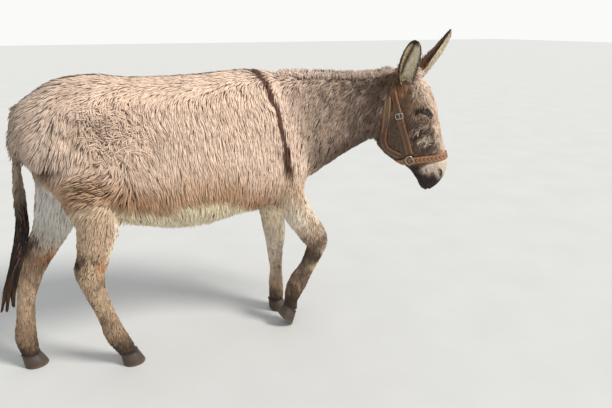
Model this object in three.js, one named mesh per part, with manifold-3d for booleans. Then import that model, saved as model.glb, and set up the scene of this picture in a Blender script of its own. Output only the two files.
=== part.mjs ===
// A shaggy donkey at life size: a still model in a walking stance, its head low and turned to
// its right, wearing a leather headcollar.
//
// Millimetres. +X points from rump to chest, +Y to the animal's left, +Z up, floor at Z = 0.
// Every body part is a loft: oval sections strung along a bent axis and skinned. Outlines are
// the outlines of the winter coat, not of the skin beneath it. Neighbouring parts are cut from
// each other with a thin clearance, so that they touch nowhere and overlap nowhere.

import * as THREE from "three";
import { mergeVertices } from "three/addons/utils/BufferGeometryUtils.js";
import Module from "manifold-3d";

const wasm = await Module();
wasm.setup();

// ---------------------------------------------------------------- driving dimensions

const GAP = 0.4; // clearance between neighbouring solids
const WITHERS = 1157; // height of the back over the shoulders, coat included
const CROUP = 1162; // highest point of the rump
const BELLY = 562; // lowest point of the belly fringe
const BARREL_HALF = 222; // half the widest width of the barrel
const SHOULDER_CUT = 648; // height at which the forelegs leave the trunk
const STIFLE_CUT = 716; // height at which the hind legs leave the trunk
const TRACK = 76; // half the distance between left and right hooves
const MANE_HEIGHT = 22; // how far the mane stands over the crest of the neck
const MANE_ROOT = 26; // how deep it starts inside the neck
const MANE_HALF = 17; // half its thickness
const TUFT_HEIGHT = 12; // and how much more the tuft behind the ears does

const POLL = new THREE.Vector3(906, -250, 1150); // origin of the head's own frame
const HEAD_TURN = THREE.MathUtils.degToRad(-38); // heading of the nose, to the animal's right
const HEAD_DROP = THREE.MathUtils.degToRad(72.5); // slope of the head's axis below level
const HEAD_LENGTH = 503; // from the poll to the tip of the upper lip

const EYE = { x: 172, z: 64, depth: 71, radius: 20 }; // centre and size of an eyeball, head frame
const NOSTRIL = { x: 440, z: 68, y: 50, length: 19, width: 9 };
const EAR = { halfWidth: 34, wall: 7, cup: 1.3 }; // cup: half angle of the shell, rad

const HOOF = { height: 58, groundFront: 50, groundRear: 42, groundHalf: 43, topHalf: 35, lean: 13 };

const STRAP = { lift: 1, thickness: 4.5, width: 25 }; // straps lie on the coat of the head
const FITTING = { lift: 6.2, thickness: 4.5, bar: 6 }; // rings and buckles lie on the straps

// ---------------------------------------------------------------- colours and finishes

const finish = (color, roughness, metalness = 0) =>
  new THREE.MeshStandardMaterial({ color, roughness, metalness });

const FAWN = finish(0xb3a08c, 0.95);
const GREY_FAWN = finish(0x8f8072, 0.95);
const DARK_COAT = finish(0x4a3a2e, 0.95);
const BLACK_HAIR = finish(0x1d1713, 0.9);
const HORN = finish(0x2b241f, 0.6);
const EYE_BROWN = finish(0x120c08, 0.1);
const LEATHER = finish(0x6a3d1f, 0.6);
const STEEL = finish(0xb8b8b4, 0.3, 1);

// ---------------------------------------------------------------- lofting

// One oval section: its centre, its reach along the section's own "up" and "down" directions,
// its half width, the power of its oval (2 is an ellipse, more is boxier) and its taper, the
// share by which it is narrower at the top than at the middle.
const section = (x, y, z, up, down, half, power = 2, taper = 0) =>
  [x, y, z, up, down, half, power, taper];

// A section given by the heights of its top and bottom.
const upright = (x, y, top, bottom, half, power = 2.2, taper = 0.1) =>
  section(x, y, (top + bottom) / 2, (top - bottom) / 2, (top - bottom) / 2, half, power, taper);

// Rows between the given ones, on a smooth Catmull-Rom curve through every number of a row.
function resample(rows, count) {
  const result = [];
  for (let i = 0; i < count; i++) {
    const at = (i / (count - 1)) * (rows.length - 1);
    const k = Math.min(Math.floor(at), rows.length - 2);
    const t = at - k;
    const before = rows[Math.max(k - 1, 0)];
    const after = rows[Math.min(k + 2, rows.length - 1)];
    result.push(rows[k].map((b, j) => {
      const slopeB = (rows[k + 1][j] - before[j]) / 2;
      const slopeC = (after[j] - b) / 2;
      const h = rows[k + 1][j] - b;
      return b + t * slopeB + t * t * (3 * h - 2 * slopeB - slopeC)
        + t * t * t * (slopeB + slopeC - 2 * h);
    }));
  }
  return result;
}

const signedPower = (value, power) => Math.sign(value) * Math.abs(value) ** power;

// Skins the rows with rings of `sides` points and closes both ends with a fan. `lateral` is the
// direction of the half width. A level loft keeps its rings upright (or, for a leg, level) on
// `level`, a fixed axis direction; any other loft sets each ring square to its axis. `grow` adds
// to every reach. `relief` returns how far a point is pushed sideways, for bosses and hollows.
function loft(rows, { sides = 16, lateral = [0, 1, 0], level = null, grow = 0, relief = null }) {
  const centres = rows.map(([x, y, z]) => new THREE.Vector3(x, y, z));
  const side = new THREE.Vector3(...lateral);
  const positions = [];
  rows.forEach(([, , , up, down, half, power, taper], i) => {
    const next = centres[Math.min(i + 1, rows.length - 1)];
    const last = centres[Math.max(i - 1, 0)];
    const along = level ? new THREE.Vector3(...level) : next.clone().sub(last).normalize();
    const rise = along.clone().cross(side).normalize();
    const across = rise.clone().cross(along);
    for (let k = 0; k < sides; k++) {
      const angle = (2 * Math.PI * k) / sides;
      const high = signedPower(Math.sin(angle), 2 / power);
      const wide = signedPower(Math.cos(angle), 2 / power);
      const lift = high * ((high > 0 ? up : down) + grow);
      const push = relief ? relief(centres[i].x, centres[i].z + lift, Math.sign(wide)) : 0;
      const reach = wide * (1 - taper * high) * (half + grow) + push * wide;
      positions.push(centres[i].clone().addScaledVector(rise, lift).addScaledVector(across, reach));
    }
  });
  const index = [];
  for (let i = 0; i < rows.length - 1; i++) {
    for (let k = 0; k < sides; k++) {
      const a = i * sides + k;
      const b = i * sides + ((k + 1) % sides);
      index.push(a, b, b + sides, a, b + sides, a + sides);
    }
  }
  const end = (rows.length - 1) * sides;
  const first = positions.push(centres[0]) - 1;
  const final = positions.push(centres[rows.length - 1]) - 1;
  for (let k = 0; k < sides; k++) {
    const next = (k + 1) % sides;
    index.push(first, next, k, final, end + k, end + next);
  }
  const geometry = new THREE.BufferGeometry().setFromPoints(positions);
  geometry.setIndex(index);
  return geometry;
}

// ---------------------------------------------------------------- joining and cutting

function solid(geometry) {
  const bare = geometry.clone();
  bare.deleteAttribute("normal");
  bare.deleteAttribute("uv");
  const merged = mergeVertices(bare, 1e-4);
  return new wasm.Manifold(new wasm.Mesh({
    numProp: 3,
    vertProperties: new Float32Array(merged.attributes.position.array),
    triVerts: new Uint32Array(merged.index.array),
  }));
}

function geometryOf(body) {
  const mesh = body.getMesh();
  const geometry = new THREE.BufferGeometry();
  geometry.setAttribute("position", new THREE.BufferAttribute(mesh.vertProperties, 3));
  geometry.setIndex(new THREE.BufferAttribute(mesh.triVerts, 1));
  geometry.computeVertexNormals();
  return geometry;
}

const FAR = 3000; // beyond every part

// All space on the side of a plane that `direction` points to.
function halfSpace(point, direction) {
  const box = new THREE.BoxGeometry(2 * FAR, 2 * FAR, FAR).translate(0, 0, FAR / 2);
  const turn = new THREE.Quaternion().setFromUnitVectors(
    new THREE.Vector3(0, 0, 1), direction.clone().normalize());
  return solid(box.applyQuaternion(turn).translate(point.x, point.y, point.z));
}

const UP = new THREE.Vector3(0, 0, 1);
const DOWN = new THREE.Vector3(0, 0, -1);
const level = (z) => new THREE.Vector3(0, 0, z);

function piece(name, shape, material) {
  const geometry = shape instanceof THREE.BufferGeometry ? shape : geometryOf(shape);
  const mesh = new THREE.Mesh(geometry, material);
  mesh.name = name;
  return mesh;
}

// ---------------------------------------------------------------- legs

// Rows run down the leg: x, y, z of the axis, reach forwards, reach backwards, half width.
// `joint` is the row at which the leg is parted into its upper and lower nodes.
const foreShoulder = (side) => [
  section(430, side * 80, 1030, 50, 50, 36),
  section(462, side * 112, 930, 112, 112, 62),
  section(488, side * 122, 820, 106, 120, 68),
];
const hindHip = (side, sweep) => [
  section(-350 - 0.1 * sweep, side * 84, 1070, 60, 60, 40),
  section(-340 - 0.3 * sweep, side * 116, 955, 140, 136, 80),
  section(-322 - 0.6 * sweep, side * 130, 850, 150, 104 + 0.5 * sweep, 84),
];

const LEGS = {
  leg_fore_left: {
    cut: SHOULDER_CUT,
    joint: 7,
    rows: [
      ...foreShoulder(1),
      section(480, 116, 700, 82, 96, 58),
      section(476, 106, 615, 70, 72, 52),
      section(478, 96, 520, 60, 60, 45),
      section(481, 88, 440, 54, 53, 42),
      section(484, 84, 385, 50, 47, 40),
      section(484, 80, 310, 37, 40, 31),
      section(485, 77, 225, 29, 31, 26),
      section(483, TRACK, 160, 33, 36, 29),
      section(484, TRACK, 115, 34, 37, 31),
      section(482, TRACK, 60, 33, 34, 30),
    ],
    hoof: { x: 477, z: HOOF.height, tip: 0 },
  },
  leg_fore_right: {
    cut: SHOULDER_CUT,
    joint: 7,
    rows: [
      ...foreShoulder(-1),
      section(490, -120, 705, 56, 96, 58),
      section(510, -114, 620, 45, 80, 52),
      section(549, -107, 535, 46, 66, 46),
      section(588, -100, 460, 57, 58, 43),
      section(618, -94, 402, 50, 48, 40),
      section(602, -90, 338, 41, 40, 32),
      section(567, -86, 268, 37, 36, 29),
      section(534, -82, 213, 43, 42, 32),
      section(512, -80, 175, 42, 42, 33),
      section(497, -78, 125, 31, 31, 29),
      section(494, -TRACK, 80, 31, 31, 29),
    ],
    hoof: { x: 494, z: 83, tip: 0.8 },
  },
  leg_hind_left: {
    cut: STIFLE_CUT,
    joint: 7,
    rows: [
      ...hindHip(1, 60),
      section(-378, 130, 740, 124, 112, 76),
      section(-412, 122, 655, 90, 90, 62),
      section(-455, 112, 565, 66, 66, 50),
      section(-500, 104, 495, 57, 58, 43),
      section(-535, 98, 440, 52, 52, 40),
      section(-560, 92, 375, 43, 45, 35),
      section(-580, 86, 300, 33, 35, 29),
      section(-596, 80, 205, 34, 37, 29),
      section(-606, TRACK, 135, 38, 42, 32),
      section(-602, TRACK, 60, 33, 34, 30),
    ],
    hoof: { x: -604, z: HOOF.height, tip: 0 },
  },
  leg_hind_right: {
    cut: STIFLE_CUT,
    joint: 7,
    rows: [
      ...hindHip(-1, 0),
      section(-296, -132, 745, 118, 94, 76),
      section(-284, -124, 660, 86, 84, 62),
      section(-302, -114, 570, 64, 66, 50),
      section(-320, -104, 500, 57, 58, 43),
      section(-334, -98, 448, 53, 57, 40),
      section(-327, -92, 375, 40, 47, 34),
      section(-311, -88, 300, 33, 39, 29),
      section(-292, -82, 220, 33, 38, 29),
      section(-276, -TRACK, 150, 38, 42, 32),
      section(-238, -TRACK, 60, 33, 34, 30),
    ],
    hoof: { x: -236, z: HOOF.height, tip: 0 },
  },
};

// A hoof hangs from the middle of its coronet. Its wall flares from there to the ground edge,
// further in front than behind. `tip` turns it toe down.
function hoofGeometry({ x, z, tip }, y, grow = 0) {
  const { height, groundFront, groundRear, groundHalf, topHalf, lean } = HOOF;
  const rows = [
    section(0, 0, grow, topHalf, topHalf, topHalf * 0.92, 2.1),
    section(lean * 0.45, 0, -height * 0.45, 42, 38, 39, 2.1),
    section(lean, 0, -height - grow, groundFront, groundRear, groundHalf, 2.1),
  ];
  const geometry = loft(rows, { sides: 16, level: [0, 0, -1], grow });
  return geometry.rotateY(tip).translate(x, y, z);
}

function buildLeg(name, { cut, joint, rows, hoof }, torso) {
  const lastRow = rows[rows.length - 1];
  const hoofSolid = solid(hoofGeometry(hoof, lastRow[1])).subtract(halfSpace(level(0), DOWN));
  const hoofRoom = solid(hoofGeometry(hoof, lastRow[1], GAP));
  const legLoft = (grow) => solid(loft(resample(rows, rows.length + 3), { sides: 12, grow }));
  const whole = legLoft(0);
  // The leg is parted square to its axis at the joint.
  const [over, at, under] = rows.slice(joint - 1, joint + 2)
    .map(([x, y, z]) => new THREE.Vector3(x, y, z));
  const axis = under.sub(over).normalize();
  const gapEnd = at.clone().addScaledVector(axis, GAP);
  const lower = whole.intersect(halfSpace(gapEnd, axis)).subtract(hoofRoom);
  const rest = whole.subtract(halfSpace(at, axis));
  const upper = rest.intersect(halfSpace(level(cut - GAP), DOWN)).subtract(torso.room);
  const top = rest.intersect(halfSpace(level(cut), UP));
  const topRoom = legLoft(GAP).intersect(halfSpace(level(cut - GAP), UP));
  const coat = name.includes("hind") ? FAWN : GREY_FAWN;
  return {
    top,
    topRoom,
    pieces: [
      piece(`${name}_upper`, upper, coat),
      piece(`${name}_lower`, lower, DARK_COAT),
      piece(`${name}_hoof`, hoofSolid, HORN),
    ],
  };
}

// ---------------------------------------------------------------- trunk and tail

const TRUNK_ROWS = [
  upright(-508, 0, 1010, 915, 46, 2, 0),
  upright(-490, 0, 1056, 880, 118, 2.2, 0.1),
  upright(-440, 0, 1106, 800, 174, 2.3, 0.14),
  upright(-340, 0, 1151, 690, 200, 2.3, 0.14),
  upright(-220, 0, CROUP, 622, 210, 2.3, 0.12),
  upright(-90, 0, 1150, 580, 218, 2.3, 0.08),
  upright(40, 0, 1148, BELLY, BARREL_HALF, 2.3, 0.05),
  upright(160, 0, 1152, 566, 218, 2.3, 0.08),
  upright(280, 0, 1160, 584, 202, 2.3, 0.16),
  upright(380, 0, 1160, 600, 182, 2.3, 0.24),
  upright(460, 0, WITHERS, 618, 166, 2.3, 0.28),
  upright(534, 0, 1090, 640, 147, 2.2, 0.24),
  upright(588, 0, 985, 680, 110, 2.2, 0.1),
  upright(616, 0, 880, 730, 66, 2, 0),
];

const trunkGeometry = (grow) =>
  loft(resample(TRUNK_ROWS, 23), { sides: 18, level: [1, 0, 0], grow });

const DOCK_END = 702; // height at which the tail's coat gives way to its switch of long hair
const TAIL_ROWS = [
  section(-446, 0, 1078, 14, 14, 14),
  section(-484, 0, 1056, 23, 23, 24),
  section(-505, 0, 1000, 24, 24, 25),
  section(-518, 0, 900, 22, 22, 23),
  section(-527, 0, 795, 20, 20, 21),
  section(-534, 0, 705, 19, 20, 20),
  section(-538, 0, 640, 23, 25, 24),
  section(-553, 0, 575, 25, 26, 25),
  section(-578, 0, 505, 23, 23, 24),
  section(-604, 0, 435, 19, 20, 20),
  section(-628, 0, 365, 12, 13, 14),
  section(-643, 0, 300, 3, 4, 4),
];

// ---------------------------------------------------------------- neck and mane

const NECK_SIDES = 14; // points round a ring of the neck
const MANE_SIDES = 6; // and of the mane

// The cut between trunk and neck: its place along the back, and its place and height at the
// breast.
const NECK_BASE = { top: 472, breast: 620, height: 690 };

// The neck leaves the chest straight ahead and bends to the animal's right.
const NECK_ROWS = [
  upright(400, 0, 1120, 660, 134, 2.2, 0.3),
  upright(500, -28, 1136, 668, 135, 2.2, 0.36),
  upright(590, -68, 1134, 718, 119, 2.2, 0.38),
  upright(670, -112, 1132, 777, 104, 2.2, 0.38),
  upright(745, -158, 1130, 834, 92, 2.2, 0.34),
  upright(812, -200, 1134, 881, 86, 2.2, 0.28),
  upright(868, -236, 1142, 908, 80, 2.2, 0.2),
  upright(900, -258, 1116, 930, 62, 2, 0),
];

// Rings of the neck stand upright, square to its heading at their place.
function neckGeometry(rows, sides, grow = 0) {
  const rings = resample(rows, Math.round(1.6 * rows.length));
  const heading = new THREE.Vector2(rows.at(-1)[0] - rows[0][0], rows.at(-1)[1] - rows[0][1]);
  heading.normalize();
  const lateral = [-heading.y, heading.x, 0];
  return loft(rings, { sides, lateral, level: [heading.x, heading.y, 0], grow });
}

// The mane is a low ridge on the crest, rising to a tuft between the ears.
const MANE_ROWS = [...NECK_ROWS.slice(0, -1), upright(892, -252, 1128, 900, 60)]
  .map(([x, y, z, up], i, all) => {
    const crest = z + up;
    const tuft = i === all.length - 2 ? TUFT_HEIGHT : 0;
    return upright(x, y, crest + MANE_HEIGHT + tuft, crest - MANE_ROOT, MANE_HALF, 2, 0.3);
  });

// ---------------------------------------------------------------- head

// Head frame: origin at the poll, X down to the lips, Y to the animal's left, Z out of the face.
const headPose = new THREE.Matrix4().compose(
  POLL,
  new THREE.Quaternion().setFromEuler(new THREE.Euler(0, HEAD_DROP, HEAD_TURN, "ZYX")),
  new THREE.Vector3(1, 1, 1),
);

// x, height of the face line, depth of the jaw line, half width, power, taper.
const headSection = (x, face, jaw, half, power, taper) =>
  upright(x, 0, face, jaw, half, power, taper);
const HEAD_ROWS = [
  headSection(-18, 34, -34, 30, 2, 0),
  headSection(10, 64, -74, 60, 2.1, 0),
  headSection(60, 88, -104, 82, 2.2, -0.1),
  headSection(112, 107, -124, 92, 2.3, -0.2),
  headSection(160, 113, -146, 94, 2.4, -0.22),
  headSection(212, 110, -160, 88, 2.4, -0.16),
  headSection(262, 108, -156, 78, 2.4, -0.04),
  headSection(308, 106, -134, 68, 2.3, 0.06),
  headSection(350, 106, -100, 60, 2.3, 0.12),
  headSection(392, 104, -57, 57, 2.3, 0.12),
  headSection(434, 92, -39, 57, 2.3, 0.06),
  headSection(470, 66, -33, 52, 2.2, 0),
  headSection(494, 34, -25, 37, 2, 0),
  headSection(HEAD_LENGTH, 10, -9, 13, 2, 0),
];

// Bosses and hollows of the head: where they are, how far they spread and how high they stand.
const FEATURES = [
  { x: 158, z: 84, spreadX: 34, spreadZ: 18, height: 9 }, // brow over the eye
  { x: 185, z: 58, spreadX: 22, spreadZ: 16, height: -5 }, // eye socket
  { x: 215, z: 18, spreadX: 60, spreadZ: 14, height: 6 }, // cheekbone
  { x: 205, z: -80, spreadX: 70, spreadZ: 50, height: 6 }, // jaw muscle
  { x: 330, z: 40, spreadX: 50, spreadZ: 30, height: -5 }, // hollow before the cheekbone
  { x: 440, z: 66, spreadX: 26, spreadZ: 20, height: 7 }, // rim of the nostril
];
function headRelief(x, z) {
  const bumps = FEATURES.map((f) =>
    f.height * Math.exp(-(((x - f.x) / f.spreadX) ** 2) - ((z - f.z) / f.spreadZ) ** 2));
  return bumps.reduce((sum, bump) => sum + bump, 0);
}

const headGeometry = (grow = 0, sides = 18) => loft(
  resample(HEAD_ROWS, 23),
  { sides, level: [1, 0, 0], grow, relief: headRelief },
);

function eyeball(side, grow = 0) {
  const ball = new THREE.SphereGeometry(EYE.radius + grow, 10, 7);
  return solid(ball.rotateX(Math.PI / 2).translate(EYE.x, side * EYE.depth, EYE.z));
}

function nostrilPit(side) {
  const pit = new THREE.SphereGeometry(1, 12, 8).scale(NOSTRIL.length, 16, NOSTRIL.width);
  return solid(pit.rotateY(0.7).translate(NOSTRIL.x, side * NOSTRIL.y, NOSTRIL.z));
}

// An ear is a cupped leaf. Its sections are crescents, wrapped round an axis that runs from the
// base to the tip: widest at a third of the length, closing to a point. The rear edge of the
// leaf bows out by `bow`, while the front edge runs nearly straight.
function earGeometry({ base, tip, facing, bow }, grow = 0) {
  const start = new THREE.Vector3(...base);
  const axis = new THREE.Vector3(...tip).sub(start);
  const length = axis.length();
  axis.normalize();
  const open = new THREE.Vector3(...facing);
  open.addScaledVector(axis, -open.dot(axis)).normalize();
  const across = axis.clone().cross(open);
  const rings = 9;
  const half = 6; // points along one face of the crescent
  const positions = [];
  for (let i = 0; i < rings; i++) {
    const t = i / (rings - 1);
    const width = EAR.halfWidth * (0.66 + 1.5 * t - 0.3 * t * t) * Math.sqrt(1 - t ** 2.4) + 2;
    const wrap = EAR.cup * (1.35 - 0.75 * t);
    const radius = width / Math.sin(Math.min(wrap, Math.PI / 2)) + grow;
    const wall = Math.min(EAR.wall, radius * 0.5) + 2 * grow;
    const centre = start.clone().addScaledVector(axis, t * length)
      .addScaledVector(across, bow * Math.sin(Math.PI * t ** 0.8))
      .addScaledVector(open, radius - EAR.halfWidth * 0.4 - grow);
    const ring = (distance, from, to) => {
      for (let k = 0; k < half; k++) {
        const angle = from + ((to - from) * k) / (half - 1);
        positions.push(centre.clone().addScaledVector(open, -Math.cos(angle) * distance)
          .addScaledVector(across, Math.sin(angle) * distance));
      }
    };
    ring(radius, wrap, -wrap);
    ring(radius - wall, -wrap * 0.96, wrap * 0.96);
  }
  const around = 2 * half;
  const index = [];
  for (let i = 0; i < rings - 1; i++) {
    for (let k = 0; k < around; k++) {
      const a = i * around + k;
      const b = i * around + ((k + 1) % around);
      index.push(a, b, b + around, a, b + around, a + around);
    }
  }
  // Each end is closed by strips between the outer and the inner face.
  const last = (rings - 1) * around;
  for (let k = 0; k < half - 1; k++) {
    const inner = around - 1 - k;
    index.push(k, inner - 1, k + 1, k, inner, inner - 1);
    index.push(last + k, last + k + 1, last + inner - 1, last + k, last + inner - 1, last + inner);
  }
  const geometry = new THREE.BufferGeometry().setFromPoints(positions);
  geometry.setIndex(index);
  return geometry;
}

const EARS = {
  ear_right: { base: [50, -66, 16], tip: [-98, -124, 98], facing: [0.48, -0.79, 0.38], bow: -14 },
  ear_left: { base: [48, 62, 46], tip: [-90, 98, 240], facing: [0.78, -0.31, 0.54], bow: -12 },
};

// ---------------------------------------------------------------- headcollar

// The layer between two offsets of the coat of head and neck, in which all tack lies.
function wornOn(grow) {
  const neck = neckGeometry(NECK_ROWS, NECK_SIDES, grow).applyMatrix4(headPose.clone().invert());
  return solid(headGeometry(grow)).add(solid(neck));
}
const layer = (lift, thickness) => wornOn(lift + thickness).subtract(wornOn(lift));

// A band of the given width along a curve through points (x, z), seen from the side of the head,
// and reaching from `near` to `far` across it.
function band(points, width, near, far) {
  const curve = new THREE.CatmullRomCurve3(points.map(([x, z]) => new THREE.Vector3(x, z, 0)));
  const steps = 2 * points.length;
  const edges = [[], []];
  for (let i = 0; i <= steps; i++) {
    const at = curve.getPointAt(i / steps);
    const tangent = curve.getTangentAt(i / steps);
    [1, -1].forEach((sign, e) => edges[e].push(new THREE.Vector2(
      at.x - sign * tangent.y * width / 2, at.y + sign * tangent.x * width / 2,
    )));
  }
  return plate([...edges[0], ...edges[1].reverse()], near, far);
}

// A flat outline in the side view (x, z), reaching from `near` to `far` across the head.
function plate(outline, near, far, hole = null) {
  const shape = new THREE.Shape(outline);
  if (hole) shape.holes.push(new THREE.Path(hole));
  const geometry = new THREE.ExtrudeGeometry(shape, { depth: far - near, bevelEnabled: false });
  return solid(geometry.rotateX(Math.PI / 2).translate(0, far, 0));
}

// A rectangular metal frame, turned in the side view.
function metalFrame({ at, length, width, turn }, near, far) {
  const corners = (inset) => [[-1, -1], [1, -1], [1, 1], [-1, 1]].map(([i, j]) =>
    new THREE.Vector2(i * (length / 2 - inset), j * (width / 2 - inset))
      .rotateAround(new THREE.Vector2(), turn).add(new THREE.Vector2(...at)));
  return plate(corners(0), near, far, corners(FITTING.bar));
}

const REACH = 220; // past both sides of the head
const SIDES = [["right", -1, [-REACH, -6]], ["left", 1, [6, REACH]]];
const ALL_ACROSS = [-REACH, REACH];
const RING = { at: [352, -40], length: 38, width: 34, turn: 0.3 }; // where a side's straps meet
const BUCKLE = { at: [160, -32], length: 24, width: 34, turn: 0 };
const CROWN_LINE = [[16, -74], [2, 20], [-14, 130]];
const CHEEK_LINE = [[20, -30], [90, -33], [190, -31], [324, -33]];
const THROAT_LINE = [[52, -52], [112, -69], [180, -95], [238, -119], [284, -116], [326, -72]];
const NOSE_LINE = [[380, 140], [372, 60], [356, -40], [360, -140]];

// Straps of one side and over the head, as [name, band]. Each band is cut by those before it.
function strapBands(spare) {
  const width = STRAP.width + 2 * spare;
  const bands = [
    ["halter_noseband", band(NOSE_LINE, width + 4, ...ALL_ACROSS)],
    ["halter_crown", band(CROWN_LINE, width + 4, ...ALL_ACROSS)],
  ];
  for (const [word, , across] of SIDES) {
    bands.push([`halter_cheek_${word}`, band(CHEEK_LINE, width, ...across)]);
    bands.push([`halter_throat_${word}`, band(THROAT_LINE, width, ...across)]);
  }
  return bands;
}

function headcollar() {
  const straps = layer(STRAP.lift, STRAP.thickness);
  const fittings = layer(FITTING.lift, FITTING.thickness);
  const rooms = strapBands(GAP).map(([, room]) => room);
  const parts = strapBands(0).map(([name, bandSolid], i) => {
    const earlier = rooms.slice(0, i).reduce((left, room) => left.subtract(room), bandSolid);
    return piece(name, straps.intersect(earlier), LEATHER);
  });
  for (const [word, , across] of SIDES) {
    for (const [noun, spec] of [["ring", RING], ["buckle", BUCKLE]]) {
      const metal = metalFrame(spec, ...across);
      parts.push(piece(`halter_${noun}_${word}`, fittings.intersect(metal), STEEL));
    }
  }
  return parts;
}

// Room that ears and mane leave for the straps.
function strapRoom() {
  const zone = layer(0, STRAP.lift + STRAP.thickness + GAP);
  const bands = strapBands(GAP).map(([, room]) => room);
  return bands.reduce((sum, room) => sum.add(room)).intersect(zone);
}

// ---------------------------------------------------------------- assembly

function buildHead() {
  const group = new THREE.Group();
  group.applyMatrix4(headPose);
  let head = solid(headGeometry());
  for (const side of [-1, 1]) head = head.subtract(eyeball(side, GAP)).subtract(nostrilPit(side));
  const headRoom = wornOn(GAP);
  const straps = strapRoom();
  group.add(piece("head", head, GREY_FAWN));
  group.add(piece("eye_right", eyeball(-1), EYE_BROWN), piece("eye_left", eyeball(1), EYE_BROWN));
  for (const [name, shape] of Object.entries(EARS)) {
    const ear = solid(earGeometry(shape)).subtract(headRoom).subtract(straps);
    group.add(piece(name, ear, DARK_COAT));
  }
  group.add(...headcollar());
  return group;
}

// Trunk and neck are one body, parted by the plane from the withers down to the breast.
function buildTrunkAndNeck(torso, torsoRoom) {
  const head = solid(headGeometry(GAP).applyMatrix4(headPose));
  const straps = solid(geometryOf(strapRoom()).applyMatrix4(headPose));
  const body = torso.add(solid(neckGeometry(NECK_ROWS, NECK_SIDES)));
  const withers = new THREE.Vector3(NECK_BASE.top, 0, WITHERS);
  const rise = WITHERS - NECK_BASE.height;
  const forwards = new THREE.Vector3(rise, 0, NECK_BASE.breast - NECK_BASE.top).normalize();
  const gapEnd = withers.clone().addScaledVector(forwards, GAP);
  const trunk = body.subtract(halfSpace(withers, forwards));
  const neck = body.intersect(halfSpace(gapEnd, forwards)).subtract(head);
  const mane = solid(neckGeometry(MANE_ROWS, MANE_SIDES)).subtract(torsoRoom).subtract(head)
    .subtract(solid(neckGeometry(NECK_ROWS, NECK_SIDES, GAP))).subtract(straps);
  return [
    piece("trunk", trunk, FAWN),
    piece("neck", neck, GREY_FAWN),
    piece("mane", mane, DARK_COAT),
  ];
}

function buildTail(trunkRoom) {
  const tail = solid(loft(resample(TAIL_ROWS, 18), { sides: 10 })).subtract(trunkRoom);
  const dock = tail.intersect(halfSpace(level(DOCK_END), UP));
  const hair = tail.intersect(halfSpace(level(DOCK_END - GAP), DOWN));
  return [piece("tail_dock", dock, FAWN), piece("tail_switch", hair, BLACK_HAIR)];
}

function build() {
  const donkey = new THREE.Group();
  const torso = { body: solid(trunkGeometry(0)), room: solid(trunkGeometry(GAP)) };
  let trunk = torso.body;
  let trunkRoom = torso.room;
  for (const [name, leg] of Object.entries(LEGS)) {
    const { top, topRoom, pieces } = buildLeg(name, leg, torso);
    trunk = trunk.add(top);
    trunkRoom = trunkRoom.add(topRoom);
    donkey.add(...pieces);
  }
  donkey.add(...buildTrunkAndNeck(trunk, trunkRoom), ...buildTail(trunkRoom), buildHead());
  return donkey;
}

// The origin is put in the middle of the footprint of the whole, on the floor.
function centred(group) {
  const box = new THREE.Box3().setFromObject(group, true);
  const middle = box.getCenter(new THREE.Vector3());
  group.position.set(-middle.x, -middle.y, -box.min.z);
  return group;
}

export default centred(build());
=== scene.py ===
"""A life-size shaggy donkey, dressed on its CAD frame: skin, winter coat, eyes, hooves, tack.

Shapes are worked out in millimetres in the animal's own plan, with the body's middle line at
y = 0, and moved into the frame of the CAD part, in metres, at the end. +X points from rump to
chest, +Y to the animal's left and +Z up.
"""

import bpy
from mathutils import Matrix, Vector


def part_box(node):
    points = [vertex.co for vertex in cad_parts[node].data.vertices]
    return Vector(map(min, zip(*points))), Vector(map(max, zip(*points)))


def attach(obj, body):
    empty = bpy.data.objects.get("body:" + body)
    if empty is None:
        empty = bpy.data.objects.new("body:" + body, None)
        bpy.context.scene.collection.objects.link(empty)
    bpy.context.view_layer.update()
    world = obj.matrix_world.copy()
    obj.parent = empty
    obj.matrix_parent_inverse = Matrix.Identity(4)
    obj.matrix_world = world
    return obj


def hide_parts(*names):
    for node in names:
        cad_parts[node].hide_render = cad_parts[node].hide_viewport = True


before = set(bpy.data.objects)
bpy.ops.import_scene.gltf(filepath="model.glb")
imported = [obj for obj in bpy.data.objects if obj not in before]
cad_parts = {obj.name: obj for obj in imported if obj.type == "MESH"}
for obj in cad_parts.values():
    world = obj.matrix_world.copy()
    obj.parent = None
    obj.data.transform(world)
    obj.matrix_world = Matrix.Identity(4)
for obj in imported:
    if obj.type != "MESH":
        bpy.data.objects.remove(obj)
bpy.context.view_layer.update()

import logging
import math
from dataclasses import dataclass, fields, replace
from enum import Enum
from functools import cached_property
from typing import Callable, Optional

import bpy
import numpy as np
from mathutils import Vector

Array = np.ndarray
Piece = bpy.types.Object
Material = bpy.types.Material
Socket = bpy.types.NodeSocket
LOG = logging.getLogger("donkey")
SEED = 11
MILLIMETRES = 1000.0  # in a metre
FULL_TURN = 2.0 * math.pi


# ---- arithmetic


def unit(vectors: Array) -> Array:
    """The vectors at length one."""
    return vectors / np.maximum(np.linalg.norm(vectors, axis=-1, keepdims=True), 1e-9)


def dot(a: Array, b: Array) -> Array:
    """Row by row scalar product, kept as a column."""
    return (a * b).sum(-1, keepdims=True)


def ramp(x: Array, low: float, high: float) -> Array:
    """0 up to `low`, 1 from `high` on, and a smooth cubic step between them (either way round)."""
    t = np.clip((x - low) / (high - low), 0.0, 1.0)
    return t * t * (3.0 - 2.0 * t)


def bell(x: Array, middle: float, spread: float) -> Array:
    """A bell curve of height one."""
    return np.exp(-(((x - middle) / spread) ** 2))


def lattice(cell: Array, seed: int) -> Array:
    """A fixed pseudo-random number from 0 to 1 for each whole-numbered cell."""
    c = cell.astype(np.int64)
    n = (c[..., 0] * 73856093) ^ (c[..., 1] * 19349663) ^ (c[..., 2] * 83492791) ^ (seed * 2654435)
    n = (n ^ (n >> 13)) * 1274126177 & 0xFFFFFFFF
    n = (n ^ (n >> 15)) * 2246822519 & 0xFFFFFFFF
    return (n & 0xFFFFFF) / float(0xFFFFFF)


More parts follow.
